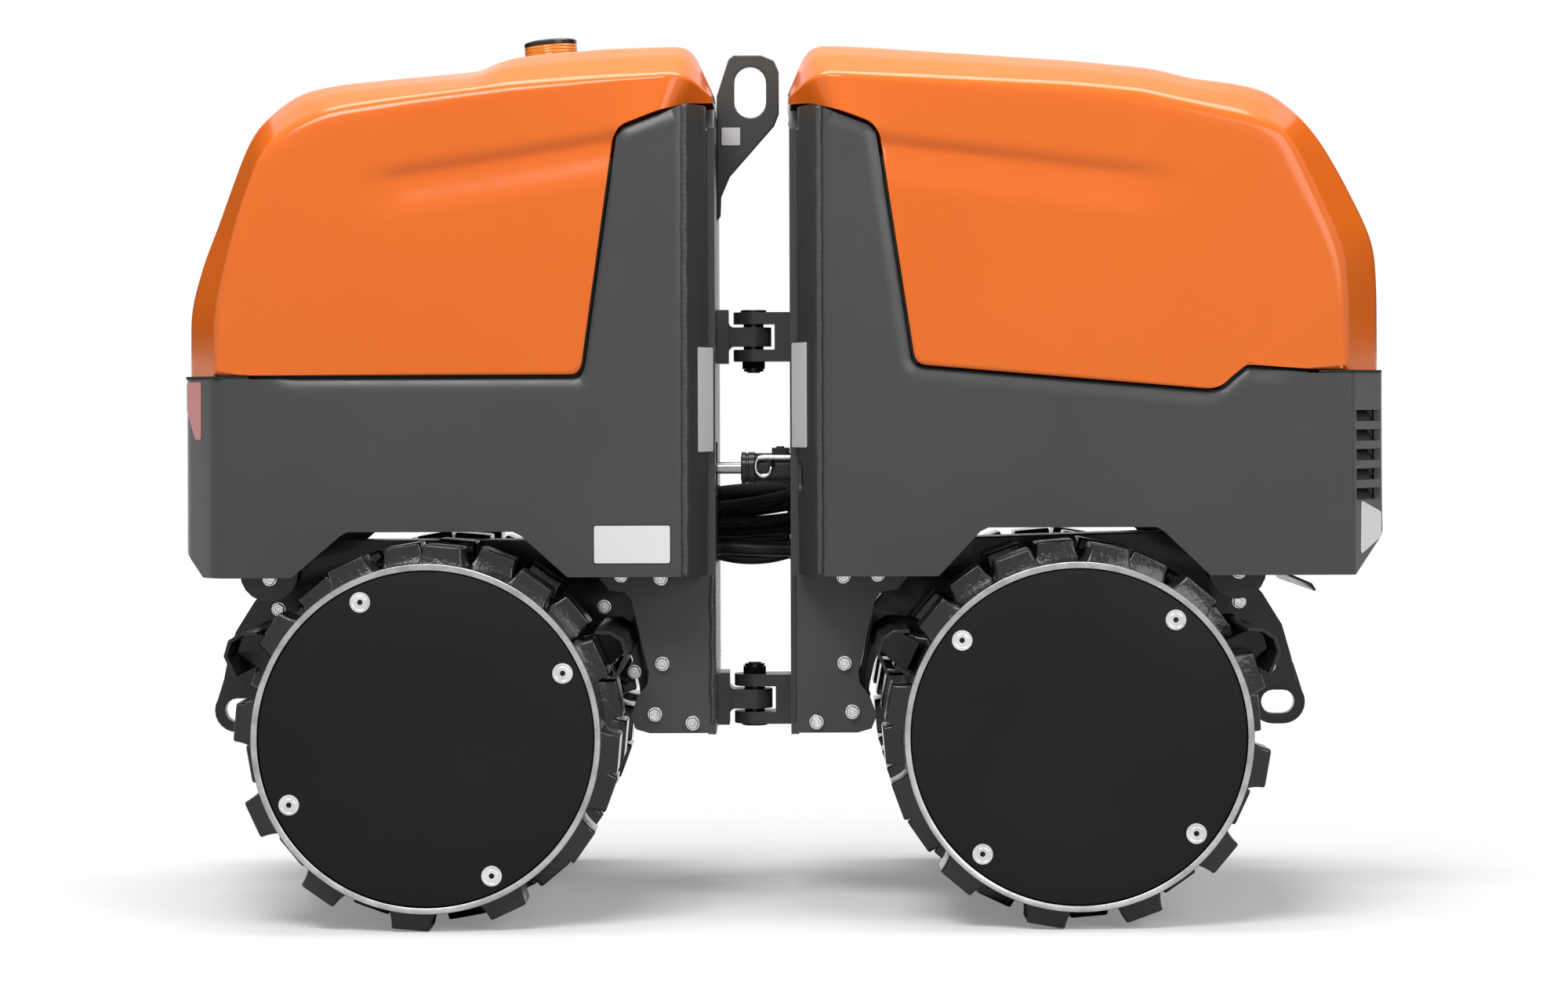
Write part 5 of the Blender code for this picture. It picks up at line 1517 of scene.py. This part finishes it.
@dataclass
class HitchFillets:
    """Hollow rounds cast between a hitch's block and its tongue, above and below the tongue."""

    name: str
    z: float
    block_x: float = -0.0862
    half_tongue: float = 0.015
    radius: float = 0.0064
    half_y: float = 0.0268
    sink: float = 0.0004
    steps: int = 8

    def build(self) -> None:
        """Each round's section is a corner, less a quarter circle centred one radius from both faces."""
        a = np.linspace(pi, 1.5 * pi, self.steps)
        r, x, sink = self.radius, self.block_x, self.sink
        arc = np.stack([x + r + r * np.cos(a), r + r * np.sin(a)], -1)
        section = np.concatenate([[(x - sink, r)], arc, [(x + r, -sink), (x - sink, -sink)]])
        n = len(section)
        shapes = []
        for way in (-1, 1):
            heights = self.z + way * (self.half_tongue + section[:, 1])
            near, far = (np.stack([section[:, 0], np.full(n, y), heights], -1)
                         for y in (-self.half_y, self.half_y))
            middles = [np.repeat(ring.mean(0)[None], n, 0) for ring in (near, far)]
            points = np.concatenate([middles[0], near, far, middles[1]])
            shapes.append((points, grid_faces(4, n, closed=True)))
        closed_piece(self.name, shapes, "rear_half", "grey_paint", 35.0)


def build_hitch() -> None:
    """The tongues' hollow rounds and both hitch pins: the upper pin's nut is below, the lower one's above."""
    HitchFillets("upper_hitch_fillets", 0.874).build()
    HitchFillets("lower_hitch_fillets", 0.307).build()
    HitchPin("upper_pin_visual", "upper_hitch_pin", 0.9164, 0.8176).build()
    HitchPin("lower_pin_visual", "lower_hitch_pin", 0.2646, 0.3634).build()


@dataclass
class Beacon:
    """Amber beacon on the rear hood: base with three screws, ribbed lens and cap, tilted with the roof."""

    x: float = -0.362
    foot_z: float = 1.2975
    tilt: float = 0.0893
    base_r: float = 0.0465
    lens_r: float = 0.0428
    cap_r: float = 0.0405
    heights: Point = (0.0065, 0.0345, 0.0445)
    ring_pitch: float = 0.0042
    ring_depth: float = 0.0004
    taper: float = 0.03

    def build(self) -> None:
        """Base, screws, lens and cap."""
        base_top, lens_top, top = self.heights
        r, c, foot = self.base_r, self.cap_r + 0.0010, lens_top + 0.0002
        base = turned([(0, -0.0015), (r - 0.0005, -0.0015), (r, 0.0006), (r - 0.0006, 0.0026),
                       (r - 0.0030, 0.0040), (r - 0.0036, base_top - 0.0006), (r - 0.0044, base_top),
                       (0, base_top)], 72)
        self.made("beacon_base_visual", [base], "black_paint", "beacon_base")
        screw = turned(stud(0.0026, 0, 0.0020, (0.0010, 0.0008)), 12)
        turns = (0.9 + 2 * pi / 3 * k for k in range(3))
        screws = [shifted(screw, ((r - 0.0028) * cos(a), (r - 0.0028) * sin(a), 0.0028)) for a in turns]
        self.made("beacon_screws", screws, "zinc")
        self.lens(base_top, lens_top)
        cap = turned([(0, foot), (c - 0.0010, foot), (c, foot + 0.0010), (c, foot + 0.0056),
                      (c - 0.0013, foot + 0.0074), (c - 0.0090, top - 0.0006), (0, top)], 72)
        self.made("beacon_cap_visual", [cap], "black_paint", "beacon_cap")

    def lens(self, low: float, high: float) -> None:
        """The lens, a solid with rings moulded round it, a little narrower towards the cap."""
        heights = np.linspace(low + 0.0003, high, 60)
        rings = self.ring_depth * (1 - np.cos((heights - low) / self.ring_pitch * 2 * pi))
        radii = self.lens_r - rings - self.taper * (heights - low)
        outside = [(0.0, low + 0.0003), *zip(radii, heights), (0.0, high)]
        self.made("beacon_lens_visual", [turned(outside, 72)], "amber_lens", "beacon_lens")

    def made(self, name: str, shapes: Sequence[Shape], finish: str, node: str | None = None) -> None:
        """Places shapes on the roof as one piece of the rear hood.

        Args:
            name: the piece's name.
            shapes: the shapes about the beacon's own axis.
            finish: their finish.
            node: the CAD node they stand for.
        """
        up = (-sin(self.tilt), 0.0, cos(self.tilt))
        placed = aimed(joined(shapes), (self.x, 0.0, self.foot_z), up)
        closed_piece(name, [placed], "rear_hood", finish, 35.0, stands_for=(node,) if node else ())


def build_fittings() -> None:
    """Latch knob on the rear hood's lid."""
    knob = turned([(0, 0), (0.0075, 0), (0.0075, 0.0028), (0.0062, 0.0044), (0, 0.0050)], 28)
    placed = aimed(knob, (-0.560, -0.120, 1.2600), (-0.09, 0.0, 1.0))
    closed_piece("lid_knob", [placed], "rear_hood", "black_paint", 30.0)


@dataclass
class WeldBead:
    """A rough weld along an upright line: a ridge whose radius and place wander a little."""

    name: str
    body: str
    foot: Point
    top_z: float
    radius: float = 0.0050
    wander: float = 0.0007
    seed: int = 1
    spacing: float = 0.0022
    scallop: float = 0.0085

    def line(self) -> tuple[np.ndarray, np.ndarray]:
        """Centre points and radii: sums of sines of unlike pitch, with a bead's scallops on top."""
        x, y, z = self.foot
        heights = np.linspace(z, self.top_z, int((self.top_z - z) / self.spacing))
        phase = self.seed * 1.7
        slow = (np.sin(heights * 61 + phase) + 0.6 * np.sin(heights * 143 + 2.3 * phase)
                + 0.4 * np.sin(heights * 389 + phase))
        scallops = np.sin(heights * 2 * pi / self.scallop)
        radii = self.radius + self.wander * (0.45 * slow + 0.35 * scallops)
        across = x + self.wander * 0.8 * np.sin(heights * 97 + 3.1 * phase)
        radii[0] = radii[-1] = self.radius * 0.5
        return np.stack([across, np.full_like(heights, y), heights], -1), radii

    def build(self) -> None:
        """The bead on the right side and the left one, as one piece."""
        line, radii = self.line()
        shapes = [swept(line * np.array([1, sign, 1]), radii, 14) for sign in (1, -1)]
        closed_piece(self.name, shapes, self.body, "grey_paint", 60.0)


def build_welds() -> None:
    """Beads along the hinge-side bends and the posts.

    Columns: name, body, foot, top, radius and wander.
    """
    rows = (
        ("rear_bend_weld", "rear_half", (-0.1476, -0.2962, 0.5130), 1.2150, 0.0052, 0.0006),
        ("front_bend_weld", "front_half", (0.0526, -0.2962, 0.5130), 1.2120, 0.0050, 0.0004),
        ("rear_post_weld", "rear_half", (-0.1095, -0.1960, 0.2860), 0.5100, 0.0042, 0.0009),
        ("front_post_weld", "front_half", (0.0145, -0.1960, 0.2860), 0.5100, 0.0026, 0.0003),
    )
    for number, (name, body, foot, top, radius, wander) in enumerate(rows):
        WeldBead(name, body, foot, top, radius, wander, seed=number + 1).build()


@dataclass
class EdgeTrim:
    """A rubber seal inside the frame, just behind its seam; its black is partly the seal's own colour and
    partly painted shade in the gap under the hood.
    """

    half: Half
    line: Line
    y: float = 0.2868
    drop: float = 0.0015
    radius: float = 0.0042

    def build(self) -> None:
        """A cord along the seam on both sides."""
        path = smooth_line([(x, 0.0, z - self.drop) for x, z in self.line], 200)
        radii = np.full(len(path), self.radius)
        shapes = [swept(path + np.array([0.0, self.y * side.value, 0.0]), radii, 10) for side in Side]
        # The black rubber here is a seal and also painted shade in the gap under the hood.
        closed_piece(self.half.label + "_seam_trim", shapes, self.half.body, "rubber", 60.0)


def build_trims() -> None:
    """Seam seals, whose black also paints the gap's shade, along each seam's straight runs with points close
    to its corners.
    """
    EdgeTrim(Half.REAR, ((-0.780, 0.8120), (-0.600, 0.8120), (-0.400, 0.8120), (-0.330, 0.8120),
                         (-0.3075, 0.8150), (-0.3000, 0.8350), (-0.2800, 0.9760), (-0.2570, 1.1380))).build()
    EdgeTrim(Half.FRONT, ((0.780, 0.8150), (0.700, 0.8220), (0.684, 0.8190), (0.652, 0.7920),
                          (0.634, 0.7870), (0.500, 0.7980), (0.300, 0.8150), (0.206, 0.8235),
                          (0.195, 0.8340), (0.170, 0.9860), (0.148, 1.1400))).build()


@dataclass
class PressedBand:
    """The frame's edge along the hood's cut, pressed inwards in a round.

    The plate's flat side is recessed where the band lies, and the band is a skin over the recess.
    """

    half: Half
    seam: Line
    width: float = 0.024
    depth: float = 0.0060
    side_y: float = 0.300
    floor_y: float = 0.2934
    fade: float = 0.07
    overlap: float = 0.004
    margin: float = 0.0002
    clear: float = 0.01
    count: int = 360
    across: int = 14
    edge_rounds: int = 6
    way_rounds: int = 260

    def edge_and_way(self) -> tuple[np.ndarray, np.ndarray]:
        """The seam's edge as x and z, and the way into the frame at each of its points.

        The way is square to the edge, and relaxed so that it turns gently round the seam's corners.
        """
        line = relaxed(resampled(np.array(self.seam), self.count), self.edge_rounds)
        along = np.gradient(line, axis=0)
        way = np.stack([along[:, 1], -along[:, 0]], -1) * -self.half.value
        way /= np.linalg.norm(way, axis=1)[:, None]
        way = relaxed(way, self.way_rounds)
        return line, way / np.linalg.norm(way, axis=1)[:, None]

    def cutter(self) -> bpy.types.Object:
        """A prism over the band's zone on both sides, as deep as the recess; it isn't shown."""
        line, way = self.edge_and_way()
        loop = np.concatenate([line - way * self.overlap, (line + way * (self.width - self.margin))[::-1]])
        n = len(loop)
        k = np.arange(self.count - 1)
        cap = np.stack([k, k + 1, n - 2 - k, n - 1 - k], -1)
        faces = np.concatenate([grid_faces(2, n, closed=True), cap, cap + n])
        shapes = []
        for sign in (-1, 1):
            rings = [np.stack([loop[:, 0], np.full(n, sign * y), loop[:, 1]], -1)
                     for y in (self.floor_y, self.side_y + self.clear)]
            shapes.append((np.concatenate(rings), faces))
        cutter = outward(mesh_from(self.half.label + "_band_recess", *joined(shapes)))
        cutter.hide_render = cutter.hide_viewport = True
        return cutter

    def build(self) -> None:
        """The skin: y = side - depth (1 - d / width) squared, where d is the distance from the seam's edge.

        Its back is flat, just below the recess's floor, and both its ends are capped.
        """
        line, way = self.edge_and_way()
        d = np.linspace(0, 1, self.across)
        end = step(np.linspace(0, 1, self.count), 0.0, self.fade)
        y = self.side_y - self.depth * end[:, None] * (1 - d[None]) ** 2
        x, z = np.moveaxis(line[:, None] + way[:, None] * (d * self.width)[None, :, None], -1, 0)
        top = np.stack([x, y, z], -1)
        back = np.stack([x, np.full_like(y, self.floor_y - self.margin), z], -1)[:, ::-1]
        rings = np.concatenate([top, back], 1)
        shapes = [capped(rings * np.array([1, sign, 1])) for sign in (-1, 1)]
        closed_piece(self.half.label + "_pressed_band", shapes, self.half.body, "grey_paint", 45.0)


REAR_BAND = PressedBand(Half.REAR, ((-0.790, 0.808), (-0.304, 0.808), (-0.2965, 0.824), (-0.248, 1.168),
                                    (-0.239, 1.180), (-0.166, 1.2080)))
FRONT_BAND = PressedBand(Half.FRONT, ((0.780, 0.8128), (0.690, 0.820), (0.652, 0.788), (0.634, 0.784),
                                      (0.198, 0.822), (0.190, 0.832), (0.138, 1.172), (0.127, 1.184),
                                      (0.072, 1.2047)))


def build_softened() -> None:
    """Folded, cut and welded pieces with rounded corners."""
    for half, band in ((Half.REAR, REAR_BAND), (Half.FRONT, FRONT_BAND)):
        body = half.body
        band.build()
        Softened(f"{half.label}_frame", body, "grey_paint", 0.0022, fold=0.0190,
                 cutters=(band.cutter(),)).build()
        for node, finish, width in (("chassis", "grey_paint", 0.0016), ("carrier", "black_paint", 0.0030),
                                    ("ram_mount", "grey_paint", 0.0015)):
            Softened(f"{half.label}_{node}", body, finish, width).build()
    Softened("lifting_eye", "rear_half", "grey_paint", 0.0020).build()
    Softened("deflector", "front_half", "black_paint", 0.0012).build()


@dataclass
class Studio:
    """Pale floor, soft lights, dark screens, white background and the photograph's camera."""

    camera_place: Point = (0.0, -5.41, 0.768)
    lens: float = 78.95
    sensor: float = 36.0
    shift_y: float = -0.0603
    roll: float = -0.2
    backdrop: float = 1.0
    fill: float = 0.36
    floor_half: float = 9.0
    floor_lift: float = 0.22
    screen_x: float = 1.95
    screen_y: Pair = (0.1, 2.4)
    screen_z: Pair = (0.87, 2.3)

    def build(self) -> None:
        """Sets everything that isn't the machine."""
        self.floor()
        self.world()
        self.light("key", (-1.2, -3.4, 4.2), (0.0, 0.0, 0.7), (2.4, 1.4), 152.0)
        self.light("front_fill", (2.6, -3.6, 2.4), (0.2, 0.0, 0.7), (2.2, 2.2), 62.0)
        self.light("top", (0.0, 0.2, 3.8), (0.0, 0.0, 0.0), (3.4, 1.4), 110.0)
        self.screen("left_screen", -self.screen_x)
        self.screen("right_screen", self.screen_x)
        self.camera()
        bpy.context.scene.view_settings.view_transform = "Standard"

    @staticmethod
    def card(name: str, corners: Sequence[Point], grey: float) -> tuple[bpy.types.Object, Graph]:
        """A flat matte card of the studio.

        Args:
            name: the card's name, and its material's.
            corners: its four corners in order.
            grey: how pale it is.

        Returns:
            The card, and its material's nodes to add to.
        """
        piece = mesh_from(name, np.array(corners), [[0, 1, 2, 3]])
        g = Graph(name)
        g.set(Base_Color=(grey, grey, grey, 1.0), Roughness=0.9, Specular_IOR_Level=0.0)
        piece.data.materials.append(g.material)
        return piece, g

    def floor(self) -> None:
        """A wide matte floor that keeps the soft shadow and fades into the white backdrop beyond it.

        To the camera it glows a little, so that it is white where no shadow falls.
        """
        h = self.floor_half
        g = self.card("studio_floor", [(-h, -h, 0), (h, -h, 0), (h, h, 0), (-h, h, 0)], 0.78)[1]
        g.set(Emission_Color=(1.0, 1.0, 1.0, 1.0))
        seen = g.node("LightPath", {}).outputs["Is Camera Ray"]
        glow = g.node("Math", {0: seen, 1: self.floor_lift}, operation="MULTIPLY").outputs[0]
        g.link(glow, "Emission Strength")
        round_machine = g.stretched((0.80, 1.25, 1.0))
        reach = g.node("VectorMath", {0: round_machine}, operation="LENGTH").outputs["Value"]
        clear = g.node("BsdfTransparent", {}).outputs[0]
        fade = g.node("MixShader", {0: g.ramp(reach, 0.85, 1.35), 1: g.shader.outputs[0], 2: clear})
        g.tree.links.new(fade.outputs[0], g.tree.nodes["Material Output"].inputs["Surface"])

    def screen(self, name: str, x: float) -> None:
        """A dark upright card beyond the machine's end, out of the picture, that the rounded ends mirror."""
        corners = [(x, y, z) for y, z in box_corners(self.screen_y, self.screen_z)]
        self.card(name, corners, 0.03)[0].visible_camera = False

    def world(self) -> None:
        """White to the camera, in reflections and through glass; a dim, cool light to all other rays."""
        world = bpy.data.worlds.new("studio")
        bpy.context.scene.world = world
        world.use_nodes = True
        world.node_tree.nodes.clear()
        w = Nodes(world.node_tree)
        path = w.node("LightPath", {}).outputs
        first = w.node("Math", {0: path["Is Camera Ray"], 1: path["Is Glossy Ray"]}, operation="MAXIMUM")
        both = w.node("Math", {0: first.outputs[0], 1: path["Is Transmission Ray"]}, operation="MAXIMUM")
        lit = w.node("Background", {"Color": (0.97, 0.985, 1.0, 1), "Strength": self.fill})
        seen = w.node("Background", {"Color": (1, 1, 1, 1), "Strength": self.backdrop})
        mix = w.node("MixShader", {0: both.outputs[0], 1: lit.outputs[0], 2: seen.outputs[0]})
        w.node("OutputWorld", {"Surface": mix.outputs[0]})

    def light(self, name: str, place: Point, target: Point, size: Pair, power: float) -> None:
        """One soft rectangular lamp turned to a target.

        Args:
            name: the lamp's name.
            place: where it stands.
            target: what it is turned to.
            size: its width and height.
            power: its power in watts.
        """
        data = bpy.data.lights.new(name, "AREA")
        data.shape, data.energy = "RECTANGLE", power
        data.size, data.size_y = size
        lamp = new_object(name, data)
        x, y, z = np.array(target) - np.array(place)
        lamp.location = place
        lamp.rotation_euler = (atan2(float(np.hypot(x, y)), -z), 0.0, atan2(-x, y))

    def camera(self) -> None:
        """A level camera on the photographed side, rolled a fifth of a degree as the photograph is."""
        data = bpy.data.cameras.new("photograph")
        data.lens, data.sensor_width, data.shift_y = self.lens, self.sensor, self.shift_y
        data.clip_end = 100.0
        camera = new_object("photograph", data)
        turn = Matrix.Rotation(pi / 2, 4, "X") @ Matrix.Rotation(radians(self.roll), 4, "Z")
        camera.matrix_world = Matrix.Translation(self.camera_place) @ turn
        bpy.context.scene.camera = camera


def main() -> None:
    """Loads the frame, dresses it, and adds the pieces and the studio."""
    logging.basicConfig(level=logging.INFO, format="%(name)s: %(message)s")
    for thing in list(bpy.data.objects):
        bpy.data.objects.remove(thing, do_unlink=True)
    FRAME.update(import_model())
    Shop.open()
    Shop.dress_nodes(FRAME)
    build_hoods()
    build_softened()
    build_drums()
    build_plates()
    build_bolts()
    build_louvres()
    build_hoses()
    SteeringCylinder().build()
    build_hitch()
    Beacon().build()
    build_fittings()
    build_welds()
    build_trims()
    Studio().build()


if __name__ == "__main__":
    main()
